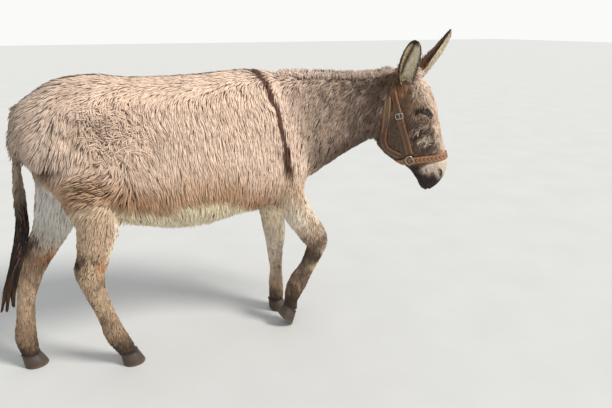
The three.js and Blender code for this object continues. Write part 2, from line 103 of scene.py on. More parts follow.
def noise(points: Array, size: float, seed: int = 0) -> Array:
    """Smooth value noise from -1 to 1.

    Args:
        points: places, (N, 3).
        size: distance over which the noise changes.
        seed: picks one of many such noises.

    Returns:
        One value per place: the numbers of the eight lattice corners round it, blended by a
        cubic step along each axis.
    """
    q = points / size
    cell = np.floor(q)
    f = q - cell
    f = f * f * (3.0 - 2.0 * f)
    total = np.zeros(len(points))
    for corner in np.array([(i, j, k) for i in (0, 1) for j in (0, 1) for k in (0, 1)]):
        share = np.prod(np.where(corner, f, 1.0 - f), axis=1)
        total += share * lattice(cell + corner, seed)
    return 2.0 * total - 1.0


def noise_vector(points: Array, size: float, seed: int) -> Array:
    """Three independent noises as a vector field."""
    return np.stack([noise(points, size, seed + i) for i in range(3)], axis=1)


def nearest_cell(points: Array, size: float, seed: int) -> tuple[Array, Array]:
    """The nearest of a set of scattered centres, one of which lies in each cube of `size`.

    Args:
        points: places, (N, 3).
        size: edge of the cubes.
        seed: picks the scatter.

    Returns:
        The centre nearest to each place, (N, 3), and that centre's own number from 0 to 1.
    """
    home = np.floor(points / size)
    best = np.full(len(points), np.inf)
    centre = np.zeros_like(points)
    label = np.zeros(len(points))
    steps = np.array([(i, j, k) for i in (-1, 0, 1) for j in (-1, 0, 1) for k in (-1, 0, 1)])
    for step in steps:
        cell = home + step
        jitter = np.stack([lattice(cell, seed + i) for i in range(3)], axis=1)
        place = (cell + jitter) * size
        gap = ((place - points) ** 2).sum(1)
        closer = gap < best
        best = np.where(closer, gap, best)
        centre = np.where(closer[:, None], place, centre)
        label = np.where(closer, lattice(cell, seed + 7), label)
    return centre, label


def round_turn(count: int) -> Array:
    """Angles in even steps once round, as a row."""
    return np.linspace(0.0, FULL_TURN, count, endpoint=False)[None]


def linear(*rgb: int) -> Array:
    """A colour written as 0 to 255 display values, as linear light."""
    c = np.array(rgb, float) / 255.0
    return np.where(c <= 0.04045, c / 12.92, ((c + 0.055) / 1.055) ** 2.4)


def filled(colour: Array, like: Array) -> Array:
    """One colour for every row of `like`."""
    return np.broadcast_to(colour, like.shape).copy()


def blend(base: Array, colour: Array, share: Array) -> Array:
    """`base` painted over with `colour` by `share`, one number per row."""
    share = np.clip(share, 0.0, 1.0)[:, None]
    return base * (1.0 - share) + colour * share


# ---- meshes


@dataclass
class Shape:
    """Vertices and triangles worked out as whole arrays."""

    vertices: Array
    triangles: Array

    def outward(self) -> "Shape":
        """The same closed shape, turned so that its faces point out (its volume is positive)."""
        a, b, c = (self.vertices[self.triangles[:, i]] for i in range(3))
        if np.einsum("ij,ij->i", a, np.cross(b, c)).sum() < 0.0:
            return Shape(self.vertices, self.triangles[:, ::-1])
        return self


def joined(shapes: list[Shape]) -> Shape:
    """Several shapes as one, side by side in the same arrays."""
    starts = np.cumsum([0] + [len(s.vertices) for s in shapes[:-1]])
    return Shape(
        np.concatenate([s.vertices for s in shapes]),
        np.concatenate([s.triangles + start for s, start in zip(shapes, starts)]),
    )


def skinned(grid: Array, closed_along: bool = False) -> Shape:
    """Triangles over rings of points.

    Args:
        grid: rings, (R, S, 3). Each ring closes on itself.
        closed_along: the last ring joins the first one. Otherwise both ends get a fan.

    Returns:
        The closed shape, facing out.
    """
    rings, sides = grid.shape[:2]
    ring = np.arange(rings if closed_along else rings - 1)[:, None]
    side = np.arange(sides)[None, :]
    after = (ring + 1) % rings
    a, b = ring * sides + side, ring * sides + (side + 1) % sides
    c, d = after * sides + (side + 1) % sides, after * sides + side
    faces = [np.stack([a, b, c], -1).reshape(-1, 3), np.stack([a, c, d], -1).reshape(-1, 3)]
    vertices = grid.reshape(-1, 3)
    if not closed_along:
        k = np.arange(sides)
        first, last = len(vertices), len(vertices) + 1
        vertices = np.concatenate([vertices, grid[0].mean(0)[None], grid[-1].mean(0)[None]])
        end = (rings - 1) * sides
        start_fan = np.stack([np.full(sides, first), (k + 1) % sides, k], -1)
        end_fan = np.stack([np.full(sides, last), end + k, end + (k + 1) % sides], -1)
        faces += [start_fan, end_fan]
    return Shape(vertices, np.concatenate(faces)).outward()


def make_piece(name: str, shape: Shape, smooth: bool = True) -> Piece:
    """An object with the shape as its mesh, at the origin, in the scene."""
    mesh = bpy.data.meshes.new(name)
    count = len(shape.triangles)
    mesh.vertices.add(len(shape.vertices))
    mesh.vertices.foreach_set("co", shape.vertices.astype(np.float32).ravel())
    mesh.loops.add(3 * count)
    mesh.loops.foreach_set("vertex_index", shape.triangles.astype(np.int32).ravel())
    mesh.polygons.add(count)
    mesh.polygons.foreach_set("loop_start", np.arange(0, 3 * count, 3, dtype=np.int32))
    mesh.polygons.foreach_set("loop_total", np.full(count, 3, dtype=np.int32))
    mesh.update(calc_edges=True)
    mesh.polygons.foreach_set("use_smooth", np.full(count, smooth))
    piece = bpy.data.objects.new(name, mesh)
    bpy.context.scene.collection.objects.link(piece)
    return piece


def paint(piece: Piece, name: str, colour: Array) -> None:
    """Stores a linear colour per vertex as a colour attribute."""
    layer = piece.data.color_attributes.new(name, "FLOAT_COLOR", "POINT")
    rgba = np.concatenate([np.clip(colour, 0.0, 1.0), np.ones((len(colour), 1))], axis=1)
    layer.data.foreach_set("color", rgba.astype(np.float32).ravel())


def lay_map(piece: Piece, name: str, corners: Array) -> None:
    """Stores a UV map given per face corner, (3 T, 2)."""
    layer = piece.data.uv_layers.new(name=name)
    layer.uv.foreach_set("vector", corners.astype(np.float32).ravel())


def mesh_arrays(mesh: bpy.types.Mesh) -> Shape:
    """The vertices and triangles of a mesh."""
    vertices = np.zeros(3 * len(mesh.vertices), np.float32)
    mesh.vertices.foreach_get("co", vertices)
    mesh.calc_loop_triangles()
    triangles = np.zeros(3 * len(mesh.loop_triangles), np.int32)
    mesh.loop_triangles.foreach_get("vertices", triangles)
    return Shape(vertices.reshape(-1, 3).astype(float), triangles.reshape(-1, 3))


def vertex_normals(shape: Shape) -> Array:
    """Area-weighted normals per vertex: the sums of the cross products of the faces there."""
    a, b, c = (shape.vertices[shape.triangles[:, i]] for i in range(3))
    face = np.cross(b - a, c - a)
    total = np.zeros_like(shape.vertices)
    for axis in range(3):
        for corner in range(3):
            total[:, axis] += np.bincount(
                shape.triangles[:, corner], weights=face[:, axis], minlength=len(total))
    return unit(total)


def relaxed(shape: Shape, share: Array, rounds: int, back: float = 0.57) -> Shape:
    """Smooths a mesh, by default without shrinking it.

    Args:
        shape: the mesh.
        share: how much each vertex may move, 0 to 1.
        rounds: how often it is done.
        back: share of the way to the neighbours' mean that is taken back in every round.

    Returns:
        The mesh after each vertex has moved towards the mean of its neighbours and then a
        little more back out again, in every round.
    """
    t = shape.triangles
    edges = np.unique(np.sort(np.concatenate([t[:, :2], t[:, 1:], t[:, ::2]]), axis=1), axis=0)
    ends = np.concatenate([edges, edges[:, ::-1]])
    count = np.bincount(ends[:, 0], minlength=len(shape.vertices))
    place = shape.vertices.copy()
    for step in [0.55, -back] * rounds:
        mean = np.stack([
            np.bincount(ends[:, 0], weights=place[ends[:, 1], axis], minlength=len(place))
            for axis in range(3)], axis=1) / np.maximum(count, 1)[:, None]
        place += step * share[:, None] * (mean - place)
    return Shape(place, t)


# ---- lofts


def through_rows(rows: Array, at: Array) -> Array:
    """Rows at fractional row numbers, on a Catmull-Rom curve through every column."""
    k = np.clip(np.floor(at).astype(int), 0, len(rows) - 2)
    t = (at - k)[:, None]
    b, step = rows[k], rows[k + 1] - rows[k]
    leave = (rows[k + 1] - rows[np.maximum(k - 1, 0)]) / 2.0
    reach = (rows[np.minimum(k + 2, len(rows) - 1)] - b) / 2.0
    return b + t * leave + t**2 * (3 * step - 2 * leave - reach) + t**3 * (leave + reach - 2 * step)


@dataclass(frozen=True)
class Loft:
    """Oval sections strung along a bent axis.

    A row holds the section's centre x, y, z, its reach up and down, its half width, the power
    of its oval and its taper, the share by which it is narrower at the top than half way up.
    """

    rows: Array
    lateral: tuple[float, float, float] = (0.0, 1.0, 0.0)
    level: Optional[tuple[float, float, float]] = None
    relief: Optional[Callable[[Array, Array], Array]] = None

    def surface(self, at: Array, angle: Array, grow: float = 0.0) -> Array:
        """Points of the surface.

        Args:
            at: fractional row numbers, (T,).
            angle: angles round the section, (1, A) or (T, A): 0 is the animal's left, a quarter
                turn is up.
            grow: how far every reach is lengthened.

        Returns:
            (T, A, 3): centre + rise * lift + across * reach, where lift and reach follow the
            superellipse sin^(2/p), cos^(2/p).
        """
        rows = through_rows(self.rows, at)
        centre = rows[:, :3]
        if self.level is None:
            dense = through_rows(self.rows, np.clip(np.concatenate(
                [at - 0.05, at + 0.05]), 0, len(self.rows) - 1))[:, :3]
            along = unit(dense[len(at):] - dense[:len(at)])
        else:
            along = np.broadcast_to(np.array(self.level), centre.shape)
        rise = unit(np.cross(along, np.array(self.lateral)))
        across = np.cross(rise, along)
        up, down, half, power, taper = (rows[:, i, None] for i in range(3, 8))
        sine, cosine = np.sin(angle), np.cos(angle)
        high = np.sign(sine) * np.abs(sine) ** (2.0 / power)
        wide = np.sign(cosine) * np.abs(cosine) ** (2.0 / power)
        lift = high * (np.where(high > 0.0, up, down) + grow)
        reach = wide * (1.0 - taper * high) * (half + grow)
        if self.relief is not None:
            reach = reach + wide * self.relief(centre[:, :1] + 0.0 * lift, centre[:, 2:] + lift)
        return centre[:, None] + rise[:, None] * lift[..., None] + across[:, None] * reach[..., None]

    def shape(self, rings: int, sides: int) -> Shape:
        """The whole closed surface."""
        at = np.linspace(0.0, len(self.rows) - 1.0, rings)
        return skinned(self.surface(at, round_turn(sides)))

    def axis(self, samples: int) -> tuple[Array, Array, Array]:
        """Row numbers, centres and mean radii at even steps along the axis."""
        at = np.linspace(0.0, len(self.rows) - 1.0, samples)
        rows = through_rows(self.rows, at)
        return at, rows[:, :3], (rows[:, 3] + rows[:, 4] + 2.0 * rows[:, 5]) / 4.0


def section(x: float, y: float, z: float, up: float, down: float, half: float,
            power: float = 2.0, taper: float = 0.0) -> tuple[float, ...]:
    """One row of a loft."""
    return (x, y, z, up, down, half, power, taper)


def upright(x: float, y: float, top: float, bottom: float, half: float,
            power: float = 2.2, taper: float = 0.1) -> tuple[float, ...]:
    """One row of a loft, from the heights of its top and bottom."""
    reach = (top - bottom) / 2.0
    return (x, y, (top + bottom) / 2.0, reach, reach, half, power, taper)


def rows_of(kind: Callable[..., tuple[float, ...]], *rows: tuple[float, ...]) -> Array:
    """The rows of one loft, all given in the same way."""
    return np.array([kind(*row) for row in rows])


def fore_shoulder(side: int) -> tuple[tuple[float, ...], ...]:
    """The rows of a foreleg that lie inside the trunk."""
    return ((430, side * 80, 1030, 50, 50, 36), (462, side * 112, 930, 112, 112, 62),
            (488, side * 122, 820, 106, 120, 68))


def hind_hip(side: int, sweep: float) -> tuple[tuple[float, ...], ...]:
    """The rows of a hind leg that lie inside the trunk, swept back by `sweep`."""
    return ((-350 - 0.1 * sweep, side * 84, 1070, 60, 60, 40),
            (-340 - 0.3 * sweep, side * 116, 955, 140, 136, 80),
            (-322 - 0.6 * sweep, side * 130, 850, 150, 104 + 0.5 * sweep, 84))


TRUNK_ROWS = rows_of(
    upright, (-508, 0, 1010, 915, 46, 2, 0), (-490, 0, 1056, 880, 118), (-440, 0, 1106, 800, 174, 2.3, 0.14),
    (-340, 0, 1151, 690, 200, 2.3, 0.14), (-220, 0, 1162, 622, 210, 2.3, 0.12),
    (-90, 0, 1150, 580, 218, 2.3, 0.08), (40, 0, 1148, 562, 222, 2.3, 0.05),
    (160, 0, 1152, 566, 218, 2.3, 0.08), (280, 0, 1160, 584, 202, 2.3, 0.16),
    (380, 0, 1160, 600, 182, 2.3, 0.24), (460, 0, 1157, 618, 166, 2.3, 0.28),
    (534, 0, 1090, 640, 147, 2.2, 0.24), (588, 0, 985, 680, 110), (616, 0, 880, 730, 66, 2, 0))
NECK_ROWS = rows_of(
    upright, (400, 0, 1120, 660, 134, 2.2, 0.3), (500, -28, 1136, 668, 135, 2.2, 0.36),
    (590, -68, 1134, 718, 119, 2.2, 0.38), (670, -112, 1132, 777, 104, 2.2, 0.38),
    (745, -158, 1130, 834, 92, 2.2, 0.34), (812, -200, 1134, 881, 86, 2.2, 0.28),
    (868, -236, 1142, 908, 80, 2.2, 0.2), (900, -258, 1116, 930, 62, 2, 0))
HEAD_ROWS = rows_of(
    upright, (-18, 0, 34, -34, 30, 2, 0), (10, 0, 64, -74, 60, 2.1, 0), (60, 0, 88, -104, 82, 2.2, -0.1),
    (112, 0, 107, -124, 92, 2.3, -0.2), (160, 0, 113, -146, 94, 2.4, -0.22),
    (212, 0, 110, -160, 88, 2.4, -0.16), (262, 0, 108, -156, 78, 2.4, -0.04),
    (308, 0, 106, -134, 68, 2.3, 0.06), (350, 0, 106, -100, 60, 2.3, 0.12), (392, 0, 104, -57, 57, 2.3, 0.12),
    (434, 0, 92, -39, 57, 2.3, 0.06), (470, 0, 66, -33, 52, 2.2, 0), (494, 0, 34, -25, 37, 2, 0),
    (503, 0, 10, -9, 13, 2, 0))
TAIL_ROWS = rows_of(
    section, (-446, 0, 1078, 14, 14, 14), (-484, 0, 1056, 23, 23, 24), (-505, 0, 1000, 24, 24, 25),
    (-518, 0, 900, 22, 22, 23), (-527, 0, 795, 20, 20, 21), (-534, 0, 705, 19, 20, 20),
    (-538, 0, 640, 23, 25, 24), (-553, 0, 575, 25, 26, 25), (-578, 0, 505, 23, 23, 24),
    (-604, 0, 435, 19, 20, 20), (-628, 0, 365, 12, 13, 14), (-643, 0, 300, 3, 4, 4))
TRACK = 76.0  # y of the hooves
TOE = 540.0  # x of the upright foreleg's toe
LEG_ROWS = {
    "fore_left": rows_of(
        section, *fore_shoulder(1), (480, 116, 700, 82, 96, 58), (476, 106, 615, 70, 72, 52),
        (478, 96, 520, 60, 60, 45), (481, 88, 440, 54, 53, 42), (484, 84, 385, 50, 47, 40),
        (484, 80, 310, 37, 40, 31), (485, 77, 225, 29, 31, 26), (483, TRACK, 160, 33, 36, 29),
        (484, TRACK, 115, 34, 37, 31), (482, TRACK, 60, 33, 34, 30)),
    "fore_right": rows_of(
        section, *fore_shoulder(-1), (490, -120, 705, 56, 96, 58), (510, -114, 620, 45, 80, 52),
        (549, -107, 535, 46, 66, 46), (588, -100, 460, 57, 58, 43), (618, -94, 402, 50, 48, 40),
        (602, -90, 338, 41, 40, 32), (567, -86, 268, 37, 36, 29), (534, -82, 213, 43, 42, 32),
        (512, -80, 175, 42, 42, 33), (497, -78, 125, 31, 31, 29), (494, -TRACK, 80, 31, 31, 29)),
    "hind_left": rows_of(
        section, *hind_hip(1, 60), (-378, 130, 740, 124, 112, 76), (-412, 122, 655, 90, 90, 62),
        (-455, 112, 565, 66, 66, 50), (-500, 104, 495, 57, 58, 43), (-535, 98, 440, 52, 52, 40),
        (-560, 92, 375, 43, 45, 35), (-580, 86, 300, 33, 35, 29), (-596, 80, 205, 34, 37, 29),
        (-606, TRACK, 135, 38, 42, 32), (-602, TRACK, 60, 33, 34, 30)),
    "hind_right": rows_of(
        section, *hind_hip(-1, 0), (-296, -132, 745, 118, 94, 76), (-284, -124, 660, 86, 84, 62),
        (-302, -114, 570, 64, 66, 50), (-320, -104, 500, 57, 58, 43), (-334, -98, 448, 53, 57, 40),
        (-327, -92, 375, 40, 47, 34), (-311, -88, 300, 33, 39, 29), (-292, -82, 220, 33, 38, 29),
        (-276, -TRACK, 150, 38, 42, 32), (-238, -TRACK, 60, 33, 34, 30)),
}
DOCK_ROWS = 5  # the rows of the tail down to the place where the long hair starts


class HeadFrame:
    """The head's own axes: from the poll down to the lips, to its left, and out of the face."""

    origin = np.array([906.0, -250.0, 1150.0])
    turn = math.radians(-38.0)
    drop = math.radians(72.5)

    def __init__(self) -> None:
        """Sets the axes as the columns of a matrix: a drop about Y, then a turn about Z."""
        c, s = math.cos(self.turn), math.sin(self.turn)
        e, d = math.cos(self.drop), math.sin(self.drop)
        self.axes = np.array([[c, -s, 0], [s, c, 0], [0, 0, 1]]) @ [[e, 0, d], [0, 1, 0], [-d, 0, e]]

    def out(self, local: Array) -> Array:
        """Points of the head's frame in the plan."""
        return local @ self.axes.T + self.origin

    def into(self, points: Array) -> Array:
        """Points of the plan in the head's frame."""
        return (points - self.origin) @ self.axes

    def shape(self, shape: Shape) -> Shape:
        """A shape of the head's frame in the plan."""
        return Shape(self.out(shape.vertices), shape.triangles)


HEAD = HeadFrame()


def head_relief(x: Array, z: Array) -> Array:
    """Bosses and hollows of the head's sides: brow, eye socket, cheekbone, jaw and nostril."""
    features = ((158, 84, 34, 18, 9), (185, 58, 22, 16, -5), (215, 18, 60, 14, 6),
                (205, -80, 70, 50, 6), (330, 40, 50, 30, -5), (440, 66, 26, 20, 7))
    return sum(h * bell(x, fx, sx) * bell(z, fz, sz) for fx, fz, sx, sz, h in features)


FACING_X = (1.0, 0.0, 0.0)
HEADING = np.append(unit(NECK_ROWS[-1, :2] - NECK_ROWS[0, :2]), 0.0)
ASIDE = np.array([-HEADING[1], HEADING[0], 0.0])  # square to the neck, to its left
TRUNK = Loft(TRUNK_ROWS, level=FACING_X)
NECK = Loft(NECK_ROWS, lateral=tuple(ASIDE), level=tuple(HEADING))
SKULL = Loft(HEAD_ROWS, level=FACING_X, relief=head_relief)
TAIL = Loft(TAIL_ROWS)
DOCK = Loft(TAIL_ROWS[:DOCK_ROWS + 2])
LEGS = {name: Loft(rows) for name, rows in LEG_ROWS.items()}


@dataclass(frozen=True)
class Placement:
    """Moves the plan to the frame of the CAD part."""

    shift: Array

    @classmethod
    def from_frame(cls) -> "Placement":
        """Reads the shift off the hoof of the upright foreleg: its toe and its middle line."""
        low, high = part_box("leg_fore_left_hoof")
        return cls(np.array([high.x - TOE / MILLIMETRES, (low.y + high.y) / 2.0 - TRACK / MILLIMETRES, 0.0]))

    def shape(self, shape: Shape) -> Shape:
        """A shape of the plan, in millimetres, as a shape of the part, in metres."""
        return Shape(shape.vertices / MILLIMETRES + self.shift, shape.triangles)

    def piece(self, name: str, shape: Shape) -> Piece:
        """A piece from a shape of the plan."""
        return make_piece(name, self.shape(shape))

    def head_piece(self, name: str, shape: Shape) -> Piece:
        """A piece from a closed shape of the head's frame."""
        return self.piece(name, HEAD.shape(shape).outward())


PLACE = Placement.from_frame()


# ---- regions


class Region(Enum):
    """The parts of the body that the coat tells apart."""

    TRUNK = 0
    NECK = 1
    HEAD = 2
    DOCK = 3
    FORE_LEFT = 4
    FORE_RIGHT = 5
    HIND_LEFT = 6
    HIND_RIGHT = 7


REGION_LOFTS = [TRUNK, NECK, SKULL, DOCK, *LEGS.values()]
LEG_REGIONS = {Region.FORE_LEFT: 1, Region.FORE_RIGHT: -1, Region.HIND_LEFT: 1, Region.HIND_RIGHT: -1}

# Per region, at growing row numbers: row, coat depth, lock length, lock width (mm) and locks
# per square metre (thousands).
FORE_COAT = ((0, 16, 46, 5.6, 20), (2, 16, 46, 5.6, 21), (4, 13, 42, 5.2, 24), (5, 9, 30, 4.4, 30),
             (7, 5, 18, 3.6, 34), (9, 4, 14, 3.2, 36), (11, 5, 20, 3.0, 38), (12, 3, 12, 2.6, 42))
HIND_COAT = ((0, 16, 44, 5.6, 20), (2, 16, 44, 5.6, 21), (4, 13, 36, 5.2, 24), (5, 9, 28, 4.4, 28),
             (7, 5, 18, 3.6, 34), (9, 4, 14, 3.2, 36), (11, 5, 18, 3.0, 38), (12, 3, 12, 2.6, 42))
COAT_TABLES = [np.array(rows, float) for rows in (
    ((0, 12, 42, 4.2, 24), (2, 13, 46, 4.4, 23), (5, 14, 54, 4.6, 22), (11, 14, 54, 4.6, 22),
     (13, 13, 44, 4.4, 22)),
    ((0, 15, 42, 5.4, 21), (2, 12, 34, 5.0, 24), (5, 9, 26, 4.2, 28), (7, 8, 24, 3.8, 32)),
    ((0, 8, 22, 3.6, 34), (3, 6, 18, 3.2, 38), (6, 5, 16, 3.0, 38), (8, 4, 12, 2.6, 42),
     (9, 2.5, 8, 2.2, 48), (10, 1.2, 4, 1.6, 50), (13, 0.8, 3, 1.4, 50)),
    ((0, 8, 30, 4.0, 30), (5, 5, 34, 3.8, 34)),
    FORE_COAT, FORE_COAT, HIND_COAT, HIND_COAT)]


FALL_OFF = 14.0  # how sharply one region of the body gives way to the next


@dataclass
class Where:
    """Where a set of points lies on the body: per region a share, and the nearest row number."""

    points: Array
    normals: Array
    share: Array
    row: Array

    @classmethod
    def find(cls, points: Array, normals: Array) -> "Where":
        """Weighs the regions of each point.

        A region's distance is that to the nearest sample of its axis, over the radius there; the
        shares fall off exponentially with it.
        """
        distance, row = [], []
        for loft in REGION_LOFTS:
            at, centre, radius = loft.axis(40)
            local = HEAD.into(points) if loft is SKULL else points
            gap = np.linalg.norm(
                local[:, None].astype(np.float32) - centre[None].astype(np.float32), axis=2)
            gap /= radius[None].astype(np.float32)
            k = gap.argmin(1)
            distance.append(gap[np.arange(len(k)), k])
            row.append(at[k])
        distance, row = np.stack(distance, 1).astype(float), np.stack(row, 1)
        weight = np.exp(-FALL_OFF * (distance - distance.min(1, keepdims=True)))
        return cls(points, normals, weight / weight.sum(1, keepdims=True), row)

    def of(self, region: Region) -> Array:
        """The share of one region."""
        return self.share[:, region.value]

    def rows(self, region: Region) -> Array:
        """The nearest row number in one region."""
        return self.row[:, region.value]

    def table(self, column: int) -> Array:
        """A column of the coat tables, blended over the regions."""
        values = [np.interp(self.row[:, i], t[:, 0], t[:, column]) for i, t in enumerate(COAT_TABLES)]
        return (self.share * np.stack(values, 1)).sum(1)

    @property
    def leg(self) -> Array:
        """The share of all four legs."""
        return self.share[:, 4:].sum(1)

    @property
    def label(self) -> Array:
        """The number of the region with the largest share."""
        return self.share.argmax(1)


# ---- markings


class Hue:
    """The colours of the coat, as linear light."""

    fawn = linear(228, 201, 180)
    warm_fawn = linear(188, 142, 98)
    rump_grey = linear(198, 177, 161)
    cream = linear(242, 226, 194)
    inner_white = linear(252, 246, 236)
    umber = linear(132, 104, 82)
    stripe = linear(84, 48, 34)
    # grey-brown of the neck, partly the coat's own and partly painted shade
    neck = linear(172, 149, 132)
    # dark grey-brown: behind the ears it is a painted shadow of the head; mixed lighter, the knee's own grey
    nape = linear(118, 98, 84)
    # dark brown of the cheeks, partly the coat's own and partly painted shade; also painted shade under the
    # neck
    cheek = linear(108, 88, 73)
    tan = linear(176, 138, 108)
    face = linear(212, 187, 166)
    mealy = linear(226, 206, 186)
    lips = linear(50, 42, 38)
    dark = linear(52, 38, 30)
    leg = linear(208, 179, 150)
    shin = linear(202, 174, 144)
    rust = linear(212, 154, 108)
    sooty = linear(84, 74, 66)
    pale = linear(252, 238, 216)
    dock = linear(168, 150, 128)


EYE_CENTRE = np.array([172.0, 72.0, 64.0])  # of the left eye, in the head's frame
EYE_OUT = unit(np.array([0.06, 0.86, 0.46]))  # out of the socket, along the slit, up to the brow
EYE_LONG = unit(np.cross(EYE_OUT, np.cross([0.58, 0.0, 0.81], EYE_OUT)))
EYE_HIGH = np.cross(EYE_LONG, EYE_OUT)
EYE_RADIUS = 20.0
NOSTRIL_CENTRE = np.array([440.0, 50.0, 68.0])
MOUTH_LINE = np.array([(398.0, -31.0), (410.0, -28.0), (440.0, -18.0), (472.0, -8.0), (503.0, 1.0)])
BELLY_LINE = np.array([  # x and z of the line at which the flank's long hair ends above the belly
    (-300, 735), (-174, 731), (-71, 700), (39, 728), (153, 723), (236, 698), (283, 668), (400, 640)])
CROSS_LINE = np.array([
    (420, 1160, 26), (414, 1142, 23), (408, 1081, 17), (419, 1021, 15), (429, 962, 13),
    (438, 904, 12), (448, 841, 13), (462, 774, 20)])  # x, z and half width of the shoulder stripe


def on_line(at: Array, line: Array) -> Array:
    """The second column of a line's rows where the first one is `at`."""
    return np.interp(at, line[:, 0], line[:, 1])


def creases(points: Array) -> Array:
    """The folds on the thigh: -1 at their bottoms, up to 1 on their crests, a sine of height."""
    x, _, z = points.T
    phase = (z + 0.16 * (x + 260) + 16.0 * np.sin((x + 260) / 46.0)) / 17.0
    return np.sin(phase * math.pi + 1.5 * noise(points, 55, 81)) * bell(x, -272, 68) * bell(z, 812, 62)


def groove(points: Array) -> Array:
    """1 along the line behind the thigh's muscle, from the hip's curls down to the tail."""
    x, _, z = points.T
    return bell(z, np.interp(x, [-500, -450, -400, -350], [905, 870, 872, 905]), 19) * bell(x, -425, 50)


CURL_SIZE = 27.0  # of the round curls on the hip, each in its own cell
CURL_SEED = 97


def curl_share(points: Array) -> Array:
    """1 in the middle of the curly zone, 0 away from it."""
    return bell(points[:, 0], -245, 105) * bell(points[:, 2], 985, 80) * (np.abs(points[:, 1]) > 60)


def curl_hollow(points: Array) -> Array:
    """0 inside a curl, 1 between it and the next, from the distance to its middle."""
    centre, _ = nearest_cell(points, CURL_SIZE, CURL_SEED)
    return ramp(np.linalg.norm(points - centre, axis=1) / CURL_SIZE, 0.36, 0.66)


def curl_swirl(points: Array, normals: Array) -> Array:
    """Unit vectors round the middle of each curl, half of them the other way round."""
    centre, label = nearest_cell(points, CURL_SIZE, CURL_SEED)
    return unit(np.cross(normals, points - centre)) * np.where(label > 0.5, 1.0, -1.0)[:, None]


def folding(local: Array) -> Array:
    """Factors that fold the right half of the head over to the left, and back."""
    return np.where(local[:, 1:2] < 0.0, np.array([1.0, -1.0, 1.0]), 1.0)


def mirrored(local: Array) -> Array:
    """Points of the head's frame with the right half folded over to the left."""
    return local * folding(local)


def body_marks(w: Where) -> Array:
    """Trunk: fawn, browner low on the flank, cream below, greyer and darker on the buttock;
    painted shade between the hip's curls, over the stifle and in the thigh's creases and groove.
    """
    x, _, z = w.points.T
    c = blend(filled(Hue.fawn, w.points), Hue.rump_grey, ramp(x, -180, -420) * 0.8)
    above = z - on_line(x, BELLY_LINE) - 9.0 * noise(w.points, 22, 7)
    c = blend(c, Hue.warm_fawn, ramp(above, 190, 10) * (0.65 + 0.3 * noise(w.points, 110, 5)))
    c = blend(c, Hue.umber, bell(above, 18, 22) * ramp(noise(w.points * [1, 1, 0.3], 16, 6), -0.3, 0.5) * 0.5)
    c = blend(c, Hue.cream, ramp(above, 8, -14))
    # painted shade in the hollows between the hip's curls
    c = blend(c, Hue.umber, curl_share(w.points) * curl_hollow(w.points) * 0.65)
    # painted shade over the stifle, mottled
    c = blend(c, Hue.umber, bell(x, -285, 95) * bell(z, 800, 95) * (0.3 + 0.3 * noise(w.points, 30, 11)))
    # painted shade in the bottoms of the thigh's creases and in the groove behind its muscle, on the outward
    # sides
    near = ramp(-np.sign(w.points[:, 1]) * w.normals[:, 1], -0.1, -0.5)
    folds = near * np.maximum(ramp(creases(w.points), -0.05, -0.6), groove(w.points))
    return blend(c, Hue.umber * 0.6, folds)


def stripes(w: Where, c: Array) -> Array:
    """Paints the dark line along the back and the cross over the shoulders."""
    x, y, z = w.points.T
    wobble = 5.0 * noise(w.points, 24, 21)
    half = np.interp(x, [-520, -330, -150, 420], [17.0, 20.0, 9.0, 8.0])
    spine = 1.0 - ramp((np.abs(y) + 0.5 * wobble) / half, 0.7, 1.2)
    spine = spine * ramp(z, 985, 1040) * ramp(x, 430, 380) * w.of(Region.TRUNK)
    middle, half = (np.interp(-z, -CROSS_LINE[:, 1], CROSS_LINE[:, k]) for k in (0, 2))
    cross = 1.0 - ramp((np.abs(x - middle) + 0.5 * wobble) / half, 0.65, 1.25)
    return blend(blend(c, Hue.stripe, spine * 0.9), Hue.stripe, cross * ramp(z, 750, 810) * 0.96)


def neck_marks(w: Where) -> Array:
    """Neck: from the shoulder's fawn to grey-brown behind the ears, partly its own colour and partly
    painted shade: a painted shadow of the head behind the ears, painted shade on the underside,
    and pale waves as painted light where it faces up or aside, with dark waves between them.
    """
    row, up = w.rows(Region.NECK), w.normals[:, 2]
    # the grey-brown is partly the coat's own and partly painted shade
    c = blend(filled(Hue.fawn, w.points), Hue.neck, ramp(row + 0.5 * noise(w.points, 90, 8), 0.6, 2.4))
    # painted shadow of the head, darkest behind the ears
    c = blend(c, Hue.nape, ramp(row, 2.6, 5.2))
    # painted shade on the underside, where the neck faces down
    c = blend(c, Hue.cheek, 0.85 * ramp(up, 0.35, -0.5))
    waves = noise(w.points * [1.0, 1.0, 0.4], 12, 9) + 0.35 * noise(w.points * [0.7, 0.7, 0.4], 30, 10)
    # pale waves as painted light, only where the neck faces up or aside
    c = blend(c, Hue.face, ramp(waves, 0.1, 0.7) * ramp(row, 1.0, 2.5) * ramp(up, -0.3, 0.2) * 0.55)
    return blend(c, Hue.dark, ramp(waves, -0.15, -0.8) * ramp(row, 0.6, 2.0) * 0.5)


def eye_marks(h: Array, grain: Array, c: Array) -> Array:
    """Paints the dark lids with a painted shadow round and behind the eye, the pale brow with a
    painted highlight on its ridge, a painted highlight on the wet lower lid, and a painted shadow in a
    dark streak below and ahead of the eye.
    """
    a, b = (h - EYE_CENTRE) @ EYE_LONG, (h - EYE_CENTRE) @ EYE_HIGH
    rim = np.hypot(a / 31.0, (b - 2.0) / 14.0) + 0.12 * grain
    c = blend(c, Hue.tan, bell(rim, 1.9, 0.5) * 0.6)
    # pale brow hair with a painted highlight on the brow ridge
    c = blend(c, Hue.face, bell(b, 27, 7) * bell(a, 6, 20) * 0.8)
    # dark lid skin, with painted shadow round the eye
    c = blend(c, Hue.dark, ramp(rim, 1.25, 0.95) * 0.97)
    # painted shadow behind the eye
    c = blend(c, Hue.dark, bell(np.hypot(a + 34, b + 2), 0, 15) * 0.8)
    # painted highlight on the wet lower lid
    c = blend(c, Hue.mealy, bell(b, -15, 3) * bell(a, 6, 10) * 0.6)
    # painted shadow: a dark streak below and ahead of the eye
    return blend(c, Hue.dark, bell(a - 20, 0, 7) * bell(b, -42, 22) * 0.8)


